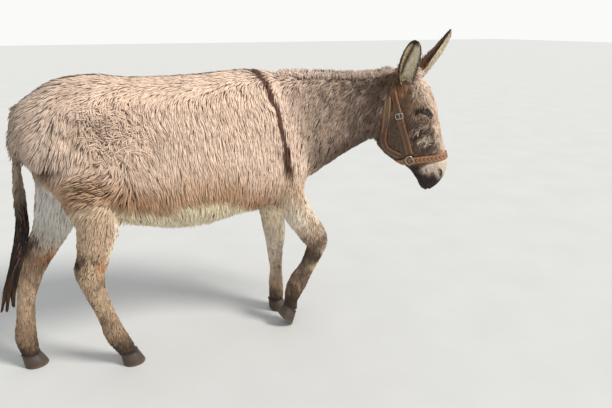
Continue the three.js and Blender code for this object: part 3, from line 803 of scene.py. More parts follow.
def head_marks(w: Where) -> Array:
    """Head: pale ridge and forehead, paler still as painted light where the face looks forward; dark
    cheeks, partly painted shade; tan below the eye, dark eye rims, pale ring behind the dark lips and
    nostrils."""
    h = mirrored(HEAD.into(w.points))
    x, y, z = h.T
    front = w.normals @ HEAD.axes[:, 2]
    grain = noise(w.points, 16, 31)
    tufts = bell(x, 262, 76) * bell(z, 36, 40)
    # the cheeks' dark brown is partly painted shade
    c = blend(filled(Hue.cheek, h), Hue.mealy, tufts * ramp(grain, -0.1, 0.5) * 0.9)
    c = blend(c, Hue.dark, tufts * ramp(grain, 0.0, -0.45) * 0.95)
    c = blend(c, Hue.rust, bell(x, 62, 36) * bell(z, 6, 30) * (0.6 + 0.5 * grain))
    c = blend(c, Hue.dark, bell(x, 84, 26) * bell(z, -4, 22) * ramp(grain, -0.2, 0.5) * 0.7)
    # painted light: paler where the face looks forward, over the ridge's pale hair
    c = blend(c, Hue.face, ramp(front + 0.25 * grain, 0.30, 0.75) * ramp(x, 480, 440))
    c = blend(c, Hue.face, bell(x, 100, 62) * ramp(z, 22, 62) * (0.4 + 0.4 * grain))
    flecks = ramp(noise(w.points, 9, 33), 0.45, 0.7) * ramp(x, 150, 110) * ramp(front, 0.1, 0.4)
    c = blend(c, Hue.umber, flecks * 0.8)
    c = blend(c, Hue.mealy, ramp(x + 0.25 * z, 388, 402) * ramp(x - 0.35 * z, 432, 408))
    c = blend(c, Hue.lips, ramp(x - 0.35 * z + 12 * grain, 424, 444) * ramp(front, 0.98, 0.6))
    c = blend(c, Hue.lips, ramp(x, 468, 490))
    c = blend(c, Hue.lips, ramp(z + 8 * grain, 4, -16) * ramp(x, 372, 392) * 0.9)
    streaks = ramp(noise(h * [0.35, 1.0, 1.0], 8, 35), 0.05, 0.45) * bell(x, 420, 36) * bell(z, 24, 44)
    c = blend(c, Hue.lips, streaks * 0.8)
    pit = np.linalg.norm((h - NOSTRIL_CENTRE) / [2.0, 1.0, 1.0], axis=1)
    c = blend(c, Hue.mealy, bell(pit, 17, 5) * 0.35)
    c = blend(c, Hue.dark, ramp(pit, 14, 9))
    mouth = np.abs(z - on_line(x, MOUTH_LINE))
    c = blend(c, Hue.dark, ramp(mouth, 5, 2) * ramp(x, 400, 410) * ramp(y, 4, 12))
    return eye_marks(h, grain, c)


def leg_marks(w: Where, body: Array, region: Region) -> Array:
    """One leg: tan with a pale front edge, partly pale hair and partly painted light where it faces
    the sun, mottled below, dark at fetlock and hock point.
    """
    row, side, ahead = w.rows(region), LEG_REGIONS[region], w.normals[:, 0]
    hind = region in (Region.HIND_LEFT, Region.HIND_RIGHT)
    grain, patch = noise(w.points, 15, 41), noise(w.points, 42, 45)
    c = blend(body, Hue.leg, ramp(row, 2.2, 3.6))
    c = blend(c, Hue.shin, ramp(row, 5.5, 7.5))
    # pale front edge: partly pale hair, partly painted light where the leg faces the sun
    c = blend(c, Hue.pale, ramp(ahead + 0.2 * patch, 0.35, 0.85) * ramp(row, 2.6, 3.6)
              * (0.85 * ramp(row, 6.4, 5.4) if hind else 0.5 * ramp(row, 9.5, 8.0)))
    inner = ramp(-side * w.normals[:, 1], 0.1, 0.5)
    white = inner * ramp(row, 1.8, 2.8) * ramp(row, 6.2, 4.6)
    c = blend(c, Hue.inner_white if hind else Hue.cream, white * (1.0 if hind else 0.9))
    if hind:
        c = blend(c, Hue.umber, bell(row, 5.9, 0.8) * ramp(patch - 0.6 * ahead, -0.3, 0.4) * 0.8)
        c = blend(c, Hue.rust, bell(row, 6.0, 0.6) * ramp(patch + 1.4 * ahead, -0.3, 0.5) * 0.85)
        c = blend(c, Hue.dark, bell(row, 6.2, 0.6) * ramp(ahead + 0.3 * grain, -0.3, -0.75))
        c = blend(c, Hue.dark, bell(row, 5.7, 0.5) * ramp(grain, 0.15, 0.6) * 0.6)
        c = blend(c, Hue.umber, bell(row, 7.3, 0.8) * ramp(patch + 0.4 * grain, -0.5, 0.3) * 0.55)
    elif side < 0:
        c = blend(c, Hue.pale, bell(row, 4.4, 0.9) * ramp(-ahead + 0.3 * patch, -0.6, 0.1) * 0.9)
        c = blend(c, Hue.nape * 1.35, bell(row, 6.6, 0.8) * 0.85)
        c = blend(c, Hue.dark, bell(row, 7.9, 1.0) * ramp(0.7 * patch - ahead, -0.7, -0.1) * 0.9)
        c = blend(c, Hue.sooty, ramp(row + 0.5 * patch, 8.2, 9.4) * ramp(grain, -0.7, 0.0) * 0.8)
    else:
        c = blend(c, Hue.pale, bell(row, 7.0, 2.4) * ramp(patch, 0.6, -0.3) * 0.8)
        c = blend(c, Hue.pale, inner * bell(row, 7.2, 1.6) * ramp(patch + grain, -0.6, 0.4) * 0.85)
        c = blend(c, Hue.rust, bell(row, 9.0, 1.4) * ramp(grain, 0.0, 0.6) * 0.6)
    c = blend(c, Hue.sooty, ramp(row, 4.5, 6.5) * ramp(grain, 0.25, 0.8) * 0.55)
    late = 0.0 if hind or side < 0 else 1.0
    c = blend(c, Hue.umber, ramp(row + 0.5 * patch - late, 8.6, 10.4) * 0.6)
    return blend(c, Hue.dark, ramp(row + 0.5 * patch, 10.3, 11.6) * 0.85)


def dock_marks(w: Where) -> Array:
    """The short-haired root of the tail, greyer down its middle."""
    mottle = ramp(noise(w.points * [1, 1, 0.2], 12, 51), 0.0, 0.6) * 0.5
    c = blend(filled(Hue.dock, w.points), Hue.sooty, mottle)
    return blend(c, Hue.dark, ramp(w.points[:, 2], 790, 730) * 0.8)


def markings(w: Where) -> Array:
    """Colour of skin and coat by place, facing and region, blended over the regions, with painted
    shade in thin wavy gaps between the locks.
    """
    body = body_marks(w)
    parts = [body, neck_marks(w), head_marks(w), dock_marks(w)]
    parts += [leg_marks(w, body, region) for region in LEG_REGIONS]
    c = stripes(w, sum(w.share[:, i, None] * part for i, part in enumerate(parts)))
    # painted shade: thin wavy dark gaps between the locks, slightly lighter between the gaps
    strands = noise(w.points * [1.0, 1.0, 0.2], 7.5, 65) * (1.0 - w.of(Region.HEAD))
    shade = 1.0 + 0.05 * noise(w.points, 70, 61) + 0.04 * noise(w.points, 22, 63)
    return c * (shade - 0.19 * ramp(strands, 0.1, 0.65) + 0.06 * ramp(-strands, 0.1, 0.6))[:, None]


# ---- lie of the coat


def lie(w: Where) -> Array:
    """The direction in which the hair points before it is laid on the skin, as unit vectors
    blended over the regions."""
    x, _, z = w.points.T
    down = np.array([0.0, 0.0, -1.0])
    sweep = np.interp(x, [-530, -350, -240, -150, -40, 150, 380, 520],
                      [-0.9, -0.75, -0.35, 0.30, 0.08, -0.05, -0.1, -0.25])
    sweep = sweep - 0.9 * ramp(w.normals[:, 2], 0.45, 0.95)
    trunk = down + sweep[:, None] * np.array(FACING_X)
    trunk = trunk + 3.0 * curl_share(w.points)[:, None] * curl_swirl(w.points, w.normals)
    trunk = trunk + np.array([0.32, 0.0, 0.0]) * noise(w.points * [0.5, 0.5, 1.0], 30, 72)[:, None]
    neck = down - 0.55 * HEADING + 0.5 * noise_vector(w.points, 26, 73)
    local = mirrored(HEAD.into(w.points))
    front = ramp(w.normals @ HEAD.axes[:, 2], 0.2, 0.8)[:, None]
    face = front * [1.0, 0.0, 0.1] + (1.0 - front) * [0.75, 0.0, -0.55]
    tufty = np.maximum(bell(local[:, 0], 255, 75) * bell(local[:, 2], 38, 40),
                       bell(local[:, 0], 85, 60) * ramp(local[:, 2], 10, 60))
    head = face @ HEAD.axes.T + (0.35 + 1.5 * tufty[:, None]) * noise_vector(w.points, 17, 75)
    fore, hind = down + [-0.15, 0.0, 0.0], down + [-0.25, 0.0, 0.0]
    thigh = bell(x, -278, 80) * bell(z, 802, 70)
    level = 0.5 * noise_vector(w.points * [0.6, 0.6, 1.6], 40, 77) + [-2.2, 0.0, 0.9]
    parts = [trunk, neck, head, down, fore, fore, hind, hind]
    total = thigh[:, None] * level + sum(w.share[:, i, None] * part for i, part in enumerate(parts))
    return unit(total + 0.12 * noise_vector(w.points, 60, 79))


# ---- skin

# One chart per region on the map: left, bottom, width and height.
CHARTS = ((0.00, 0.50, 0.62, 0.50), (0.00, 0.26, 0.40, 0.23), (0.63, 0.62, 0.37, 0.38),
          (0.63, 0.50, 0.10, 0.11), (0.41, 0.26, 0.14, 0.23), (0.56, 0.26, 0.14, 0.23),
          (0.71, 0.26, 0.14, 0.23), (0.86, 0.26, 0.13, 0.23))
CHART_MARGIN = 0.012


def unwrapped(points: Array, label: Array) -> Array:
    """Lays the body out flat, one chart per region: round its axis by how far along it.

    The trunk and the head close at their ends, so their height on the chart is the latitude of
    an ellipsoid; the other regions use the plain distance along their axis.

    Args:
        points: places in the plan, (N, 3).
        label: region number of each.

    Returns:
        Places on the map, (N, 2).
    """
    u, v = np.zeros(len(points)), np.zeros(len(points))
    for i, loft in enumerate(REGION_LOFTS):
        here = label == i
        local = HEAD.into(points[here]) if loft is SKULL else points[here]
        _, centre, _ = loft.axis(60)
        if loft is TRUNK or loft is SKULL:
            along, first, last = local[:, 0], centre[0, 0], centre[-1, 0]
            middle = np.stack([np.interp(along, centre[:, 0], centre[:, k]) for k in (1, 2)], 1)
            side, height = local[:, 1] - middle[:, 0], local[:, 2] - middle[:, 1]
            reach = 260.0 if loft is TRUNK else 110.0
            share = 2.0 * (along - first) / (last - first) - 1.0
            high = 0.5 + np.arctan2(share, np.hypot(side, height) / reach) / math.pi
        elif loft is NECK:
            along, key = local @ HEADING, centre @ HEADING
            middle = np.stack([np.interp(along, key, centre[:, k]) for k in range(3)], 1)
            side = (local - middle) @ ASIDE
            height, high = local[:, 2] - middle[:, 2], (along - 380.0) / 560.0
        else:
            along, key = -local[:, 2], -centre[:, 2]
            middle = np.stack([np.interp(along, key, centre[:, k]) for k in (0, 1)], 1)
            side, height = local[:, 1] - middle[:, 1], local[:, 0] - middle[:, 0]
            top, foot = (1030.0, 290.0) if loft is DOCK else (1100.0, 20.0)
            high = (top - local[:, 2]) / (top - foot)
        left, bottom, width, tall = CHARTS[i]
        spread = np.clip(0.5 + np.arctan2(side, -height) / FULL_TURN * 0.96, 0.0, 1.0)
        u[here] = left + CHART_MARGIN + spread * (width - 2.0 * CHART_MARGIN)
        v[here] = bottom + CHART_MARGIN + np.clip(high, 0.0, 1.0) * (tall - 2.0 * CHART_MARGIN)
    return np.stack([u, v], 1)


VOXEL = 0.0088  # metres
LID = 2.2  # thickness of an eyelid


def flesh() -> Shape:
    """All lofts of the body side by side, out to the tips of the coat, in the part's frame.

    Legs end inside their hooves and the dock inside its hair."""
    shapes = [TRUNK.shape(80, 64), NECK.shape(40, 48), HEAD.shape(SKULL.shape(90, 48)), DOCK.shape(40, 24)]
    return PLACE.shape(joined(shapes + [leg.shape(90, 32) for leg in LEGS.values()]))


def remeshed(shape: Shape) -> Shape:
    """The outer surface of overlapping shapes of the part as one mesh of even cells, in the plan."""
    piece = make_piece("flesh", shape)
    changer = piece.modifiers.new("cells", "REMESH")
    changer.mode, changer.voxel_size = "VOXEL", VOXEL
    ready = piece.evaluated_get(bpy.context.evaluated_depsgraph_get())
    result = mesh_arrays(ready.to_mesh())
    ready.to_mesh_clear()
    bpy.data.objects.remove(piece)
    return Shape((result.vertices - PLACE.shift) * MILLIMETRES, result.triangles)


def refined(shape: Shape, chosen: Array) -> Shape:
    """Halves every edge both of whose ends are chosen.

    Args:
        shape: a mesh.
        chosen: per vertex, whether it is in the finer zone.

    Returns:
        The mesh with four faces for each face whose three corners are chosen, and two or
        three for those at the edge of the zone, so that it stays closed.
    """
    t = shape.triangles
    sides = np.stack([t, t[:, [1, 2, 0]]], -1)
    split = chosen[sides].all(-1)
    keys = np.sort(sides, -1)
    code = keys[..., 0].astype(np.int64) * len(shape.vertices) + keys[..., 1]
    known, index = np.unique(code[split], return_inverse=True)
    ends = np.stack([known // len(shape.vertices), known % len(shape.vertices)], 1)
    middle = np.full(t.shape, -1)
    middle[split] = len(shape.vertices) + index
    count = split.sum(1)
    full, m = t[count == 3], middle[count == 3]
    faces = [t[count == 0], *(np.stack([full[:, i], m[:, i], m[:, i - 1]], 1) for i in range(3)), m]
    for first in range(3):
        order = [first, (first + 1) % 3, (first + 2) % 3]
        (a, b, c), (m, n, _) = t[:, order].T, middle[:, order].T
        one, two = (count == 1) & split[:, first], (count == 2) & ~split[:, order[2]]
        for here, parts in ((one, ((a, m, c), (m, b, c))), (two, ((a, m, c), (m, n, c), (m, b, n)))):
            faces += [np.stack(part, 1)[here] for part in parts]
    return Shape(np.concatenate([shape.vertices, shape.vertices[ends].mean(1)]), np.concatenate(faces))


def with_lids(h: Array) -> Array:
    """Moves head points near the eye on to the lids.

    The lids are a sphere a little larger than the eyeball. Between them, inside an almond
    wider above than below, the skin passes behind the eyeball's front. A brow swells above
    and a crease runs below.

    Args:
        h: points in the head's frame, folded to the left half.

    Returns:
        The moved points.
    """
    e = h - EYE_CENTRE
    a, b, c = e @ EYE_LONG, e @ EYE_HIGH, e @ EYE_OUT
    from_eye = np.hypot(a, b)
    near = (1.0 - ramp(from_eye, 19.0, 33.0)) * (c > -6.0)
    gape = np.where(b > 0.0, 4.6, 4.2) * np.clip(1.0 - (a / 19.0) ** 2, 0.0, 1.0) ** 0.7
    opening = ramp(gape - np.abs(b), -0.8, 0.8) * (np.abs(a) < 19.0)
    over = EYE_RADIUS + LID
    lid = over * np.sqrt(np.clip(1.0 - (from_eye / over) ** 2, 0.18, 1.0))
    lid = lid + 4.0 * bell(b, 17.0, 5.5) * bell(a, 0.0, 24.0) + 1.5 * bell(b, 8.0, 2.5)
    lid = lid - 1.5 * bell(b, -13.5, 2.5) - 1.2 * bell(b, 12.0, 1.6)
    behind = EYE_RADIUS * np.sqrt(np.clip(1.0 - (from_eye / EYE_RADIUS) ** 2, 0.0, 1.0)) - 5.0
    target = lid * (1.0 - opening) + np.minimum(lid, behind) * opening
    return h + ((target - c) * near)[:, None] * EYE_OUT


def with_nostrils_and_mouth(h: Array, normal: Array) -> Array:
    """Moves head points at nostril and mouth along their normals.

    The nostril is an oval pit with a raised rim, longest along the face; the mouth a
    groove along its line; the chin swells below it.
    """
    e = h - NOSTRIL_CENTRE
    oval = np.hypot((e[:, 0] + 0.3 * e[:, 2]) / 19.0, np.hypot(e[:, 1], e[:, 2]) / 10.0)
    push = -13.0 * ramp(oval, 1.05, 0.45) + 2.6 * bell(oval, 1.35, 0.3)
    gap = np.abs(h[:, 2] - on_line(h[:, 0], MOUTH_LINE))
    lip = ramp(h[:, 0], 398, 412)
    push = push - 4.0 * bell(gap, 0.0, 3.2) * lip + 1.6 * bell(gap, 8.0, 4.5) * lip
    return h + push[:, None] * normal


def skin_relief(w: Where) -> Array:
    """How far folds and muscles lift the skin: creases over the stifle, a groove behind the
    thigh's muscle, the shoulder blade's edge, an even crest at the withers and a soft
    unevenness all over."""
    x, y, z = w.points.T
    out = -np.sign(y) * w.normals[:, 1] < 0.0
    blade = 5.0 * bell(x - 0.28 * (900 - z) - 420, 0, 30) * bell(z, 900, 150)
    elbow = 5.0 * bell(x, 400, 45) * bell(z, 705, 45)
    soft = 2.0 * noise(w.points, 110, 83) * (1.0 - w.of(Region.HEAD)) * (1.0 - w.leg)
    crest = ramp(w.normals[:, 2], 0.2, 0.8) * (9.0 * bell(x, 515, 34) - 8.0 * bell(x, 434, 40))
    curls = 8.0 * curl_share(w.points) * (0.4 - curl_hollow(w.points))
    return (14.0 * creases(w.points) - 12.0 * groove(w.points) + blade + elbow) * out + curls + soft + crest


def skin_shape() -> Shape:
    """The finished skin in the plan: remeshed, smoothed, taken in by the coat's depth and
    sculpted at the face."""
    body = remeshed(flesh())
    w = Where.find(body.vertices, vertex_normals(body))
    body = relaxed(body, 1.0 - 0.8 * w.of(Region.HEAD) - 0.6 * w.leg * (body.vertices[:, 2] < 560), 26)
    x, _, z = body.vertices.T
    body = relaxed(body, bell(x, 505, 75) * ramp(z, 820, 930), 36, 0.0)
    x, y, z = body.vertices.T
    body = relaxed(body, bell(x, 555, 60) * ramp(y, -20, 60) * ramp(z, 700, 800), 60, 0.0)
    w = Where.find(body.vertices, vertex_normals(body))
    depth = w.table(1) + 13.0 * ramp(body.vertices[:, 2], 660, 590) * w.of(Region.TRUNK)
    body.vertices = body.vertices + w.normals * (skin_relief(w) - depth)[:, None]
    for reach in (None, 48.0, 33.0):  # the whole face first, then round the eyes and nostrils
        h = mirrored(HEAD.into(body.vertices))
        x, y, z = h.T
        if reach is None:
            chosen = (np.abs(y) < 130) & (x > 40) & (x < 530) & (z > -175) & (z < 150)
        else:
            chosen = np.linalg.norm(h - EYE_CENTRE, axis=1) < reach
            chosen |= np.linalg.norm(h - NOSTRIL_CENTRE, axis=1) < reach * 0.75
            chosen |= (np.abs(z + 18) < 26) & (x > 395) & (x < 520) & (reach > 40.0)
        body = refined(body, chosen)
        x, y, _ = HEAD.into(body.vertices).T
        body = relaxed(body, ramp(x, 10, 40) * ramp(x, 540, 520) * (np.abs(y) < 130) * 0.5, 2)
    h = HEAD.into(body.vertices)
    side = folding(h)
    normal = (vertex_normals(body) @ HEAD.axes) * side
    in_head = np.linalg.norm(h - [250.0, 0.0, 0.0], axis=1) < 330.0
    moved = with_nostrils_and_mouth(with_lids(h * side), normal) * side
    body.vertices = np.where(in_head[:, None], HEAD.out(moved), body.vertices)
    return body


# ---- locks of hair

STATIONS = (0.0, 0.36, 0.72)  # shares of a lock's length at which its rings lie, before its tip
GIRTH = (0.85, 1.0, 0.72)  # width of a lock at its rings
THIRDS = (0.0, 2.0943951, 4.1887902)  # of a turn, where the three edges run


def spindles(middles: list[Array], hint: Array, roll: Array, half: list[Array]) -> tuple[Shape, list[Array]]:
    """Three-sided spindles along curves.

    Args:
        middles: places of all curves at each ring and at the tips, (N, 3) each.
        hint: the direction that a ring's first edge is square to.
        roll: turn of the rings, (N, 1) or one for all.
        half: half widths at each ring, (N,) each.

    Returns:
        The spindles as one shape, and the direction of each point of the rings from the middle.
    """
    spokes, rings = [], []
    for k, reach in enumerate(half):
        along = unit(middles[k + 1] - middles[max(k - 1, 0)])
        across = unit(np.cross(along, hint))
        lifted = np.cross(across, along)
        for turn in THIRDS:
            spokes.append(np.cos(roll + turn) * across + np.sin(roll + turn) * lifted)
            rings.append(middles[k] + spokes[-1] * reach[:, None])
    vertices = np.stack(rings + [middles[-1]], 1)
    last = 3 * (len(half) - 1)
    faces = [(0, 2, 1)]
    for k in range(0, last, 3):
        for a, b in ((k, k + 1), (k + 1, k + 2), (k + 2, k)):
            faces += [(a, b, b + 3), (a, b + 3, a + 3)]
    faces += [(last + i, last + (i + 1) % 3, last + 3) for i in range(3)]
    pattern = Shape(vertices[0], np.array(faces)).outward().triangles
    starts = np.arange(len(vertices))[:, None, None] * (last + 4)
    return Shape(vertices.reshape(-1, 3), (starts + pattern).reshape(-1, 3)), spokes


def hair_piece(name: str, shape: Shape, stations: tuple[float, ...], colour: Array, chart: Array,
               strands: tuple[Array, Array, Array]) -> Piece:
    """A piece of spindles with its colours and maps.

    Args:
        name: of the piece.
        shape: the spindles in the plan, as `spindles` gives them.
        stations: shares of the length at which the rings lie.
        colour: per spindle and vertex, (N, V, 3).
        chart: place of every root on the bake's map, (N, 2).
        strands: on the strands' own map, the width, the start and the length of each spindle.

    Returns:
        The piece.
    """
    piece = PLACE.piece(name, shape)
    paint(piece, "coat", colour.reshape(-1, 3))
    reach = np.repeat([*stations, 1.0], [3] * len(stations) + [1])
    around = np.array([0.0, 0.33, 0.67] * len(stations) + [0.5])
    corner = shape.triangles.ravel()
    patch = np.stack([reach, around], 1)[corner % len(reach)] - 0.5
    lay_map(piece, "OFBake", chart[corner // len(reach)] + 0.003 * patch)
    wide, start, long = (np.reshape(value, (-1, 1)) for value in strands)
    lay_map(piece, "Strand", np.stack([around * wide + start, reach * long], -1).reshape(-1, 2)[corner])
    return piece


@dataclass
class Locks:
    """Many locks of hair, one row per lock.

    A lock is a three-sided spindle along a curve that leaves the skin in direction `start` and
    ends in direction `end`: its place at share s of its length is
    root + length * (start * (s - s^2 / 2) + end * s^2 / 2) + drift * s^1.5 + a sideways wave.
    Its shading normals lean towards `facing`, the skin's own, as light on fine hair does.
    """

    root: Array
    start: Array
    end: Array
    drift: Array
    length: Array
    width: Array
    colour: Array
    chart: Array
    wave: Array
    facing: Array
    # painted shade at the roots, deep in the coat, lighter towards the sun-bleached tips
    tone: tuple[float, ...] = (0.84, 0.97, 1.01, 1.03)

    def pick(self, chosen: Array) -> "Locks":
        """Only the chosen locks."""
        return replace(self, **{row.name: getattr(self, row.name)[chosen] for row in fields(self)[:-1]})

    def place(self, s: float) -> Array:
        """The middle of every lock at share s of its length."""
        path = self.root + self.length[:, None] * (self.start * (s - s * s / 2) + self.end * s * s / 2)
        sideways = unit(np.cross(self.start, self.end + 0.3 * self.start + [0.01, 0.02, 0.0]))
        swing = np.sin(FULL_TURN * (1.3 * s + self.wave[:, 1])) - np.sin(FULL_TURN * self.wave[:, 1])
        return path + self.drift * s**1.5 + sideways * (self.wave[:, 0] * swing)[:, None]

    def piece(self, name: str) -> Piece:
        """The locks as one mesh, with their colours, maps and shading normals."""
        shape, spokes = spindles([self.place(s) for s in (*STATIONS, 1.0)],
                                 self.end * 0.2 + self.start + [0.013, 0.017, 0.11],
                                 FULL_TURN * self.wave[:, 1:2], [self.width * g * 0.5 for g in GIRTH])
        level = np.repeat(self.tone, [3] * len(STATIONS) + [1])
        piece = hair_piece(name, shape, STATIONS, self.colour[:, None] * level[:, None], self.chart,
                           (self.width * 0.003, self.wave[:, 1] * 7.0, self.length * 0.001))
        normals = np.stack([unit(self.facing + 0.75 * spoke) for spoke in spokes] + [self.facing], 1)
        piece.data.normals_split_custom_set_from_vertices(normals.reshape(-1, 3).tolist())
        return piece


# ---- winter coat

LOCK_COUNT = 86000
CLUMP = 17.0  # distance between the middles of clumps of locks


def coat_roots(skin: Shape) -> tuple[Array, Array]:
    """Scatters roots over the skin, as densely as the coat tables say.

    Args:
        skin: the skin in the plan.

    Returns:
        Roots and the skin's normals there.
    """
    rng = np.random.default_rng(SEED)
    normals = vertex_normals(skin)
    corners = skin.vertices[skin.triangles]
    middle = corners.mean(1)
    area = np.linalg.norm(np.cross(corners[:, 1] - corners[:, 0], corners[:, 2] - corners[:, 0]), axis=1) / 2
    w = Where.find(middle, unit(normals[skin.triangles].mean(1)))
    h = mirrored(HEAD.into(middle))
    e = h - EYE_CENTRE
    bare = ramp(np.hypot(np.hypot(e @ EYE_LONG, (e @ EYE_HIGH) * 1.5), e @ EYE_OUT), 25, 31)
    bare = bare * ramp(np.linalg.norm((h - NOSTRIL_CENTRE) / [1.5, 1, 1], axis=1), 13, 20)
    stump = ramp(middle[:, 2], 730, 700) * ramp(w.of(Region.DOCK), 0.2, 0.5)
    density = w.table(4) * bare * ramp(middle[:, 2], 40, 52) * (1.0 - stump)
    chance = np.cumsum(area * density)
    face = np.searchsorted(chance, rng.random(LOCK_COUNT) * chance[-1])
    a, b = rng.random((2, LOCK_COUNT, 1))
    fold = a + b > 1.0
    a, b = np.where(fold, 1.0 - a, a), np.where(fold, 1.0 - b, b)
    mix = np.stack([1.0 - a - b, a, b], 1)
    return (mix * corners[face]).sum(1), unit((mix * normals[skin.triangles[face]]).sum(1))


def grown_coat(skin: Shape) -> tuple[Locks, Where]:
    """The locks over the whole skin, and where they stand."""
    rng = np.random.default_rng(SEED + 1)
    root, normal = coat_roots(skin)
    count = len(root)
    w = Where.find(root, normal)
    depth, length, width = w.table(1), w.table(2), w.table(3)
    laid = lie(w)
    outward = np.clip(dot(laid, normal), 0.0, 1.0)
    flat = unit(laid - normal * dot(laid, normal))
    fringe = ramp(root[:, 2], 680, 610) * w.of(Region.TRUNK)
    depth = depth + 13.0 * fringe
    h = mirrored(HEAD.into(root))
    tuft = bell(h[:, 0], 258, 72) * bell(h[:, 2], 40, 36) * w.of(Region.HEAD)
    brow = bell(h[:, 0], 70, 55) * ramp(h[:, 2], 10, 60) * w.of(Region.HEAD)
    elbow = bell(root[:, 0], 420, 90) * bell(root[:, 2], 650, 50)
    curl = curl_share(root) * w.of(Region.TRUNK)
    fold = np.maximum(bell(root[:, 0], -275, 75) * bell(root[:, 2], 805, 68), groove(root))
    length = length * (1.0 + 0.25 * fringe + 0.8 * tuft + 0.8 * brow + 0.3 * elbow - 0.42 * curl - 0.4 * fold)
    squash = np.array([1.0, 1.0, 0.75])
    centre, label = nearest_cell(root * squash, CLUMP, 91)
    size = np.clip(length / 40.0, 0.35, 1.1)
    length = length * (0.95 + 0.34 * rng.random(count) + 0.12 * label)
    rough = 0.26 - 0.10 * ramp(root[:, 0], -150, -260) + 0.60 * np.maximum(np.maximum(curl, tuft), brow)
    lift = depth * (1.0 - rough * (0.65 * rng.random(count) + 0.25 * label))
    rise = np.clip(2.0 * lift / length, 0.10, 0.8)[:, None]
    loose = 0.3 * outward * (w.normals[:, 2:] < -0.3)
    start = unit(flat * np.sqrt(1.0 - rise**2) + normal * (rise + 0.5 * loose))
    end = unit(flat + normal * (loose + 0.10 * (rng.random((count, 1)) - 0.4)))
    to_centre = centre / squash - root
    to_centre -= flat * dot(to_centre, flat) + normal * dot(to_centre, normal)
    reach = (3.0 + 6.0 * np.maximum(tuft, brow)) * size
    pull = np.minimum(1.0, reach / np.maximum(np.linalg.norm(to_centre, axis=1), 1e-6))
    drift = to_centre * (pull * 0.75)[:, None] + 1.2 * rng.standard_normal((count, 3)) * size[:, None]
    fade = 1.0 + 0.12 * (label - 0.5) + 0.12 * (rng.random(count) - 0.5)
    fade = fade * (1.0 + np.maximum(tuft, 0.5 * brow) * (1.5 * rng.random(count) ** 2 - 0.4))
    colour = markings(w) * fade[:, None]
    streak = rng.random((count, 1)) < 0.05
    colour = np.where(streak, colour * [0.78, 0.72, 0.66], colour)
    wave = np.stack([(0.6 + 2.2 * curl + 1.6 * tuft) * size, rng.random(count)], 1)
    return Locks(root, start, end, drift, length, width, colour, unwrapped(root, w.label), wave, normal), w


# ---- ears

LEAF_EDGE = np.linspace(-1.0, 1.0, 17)
LEAF_GRID = tuple(np.broadcast_arrays(  # t, turn and inner of the points of an ear's mesh, ring by ring
    np.linspace(0.0, 0.998, 46)[:, None], np.concatenate([LEAF_EDGE, LEAF_EDGE[::-1]]),
    np.repeat([0.0, 1.0], len(LEAF_EDGE))))


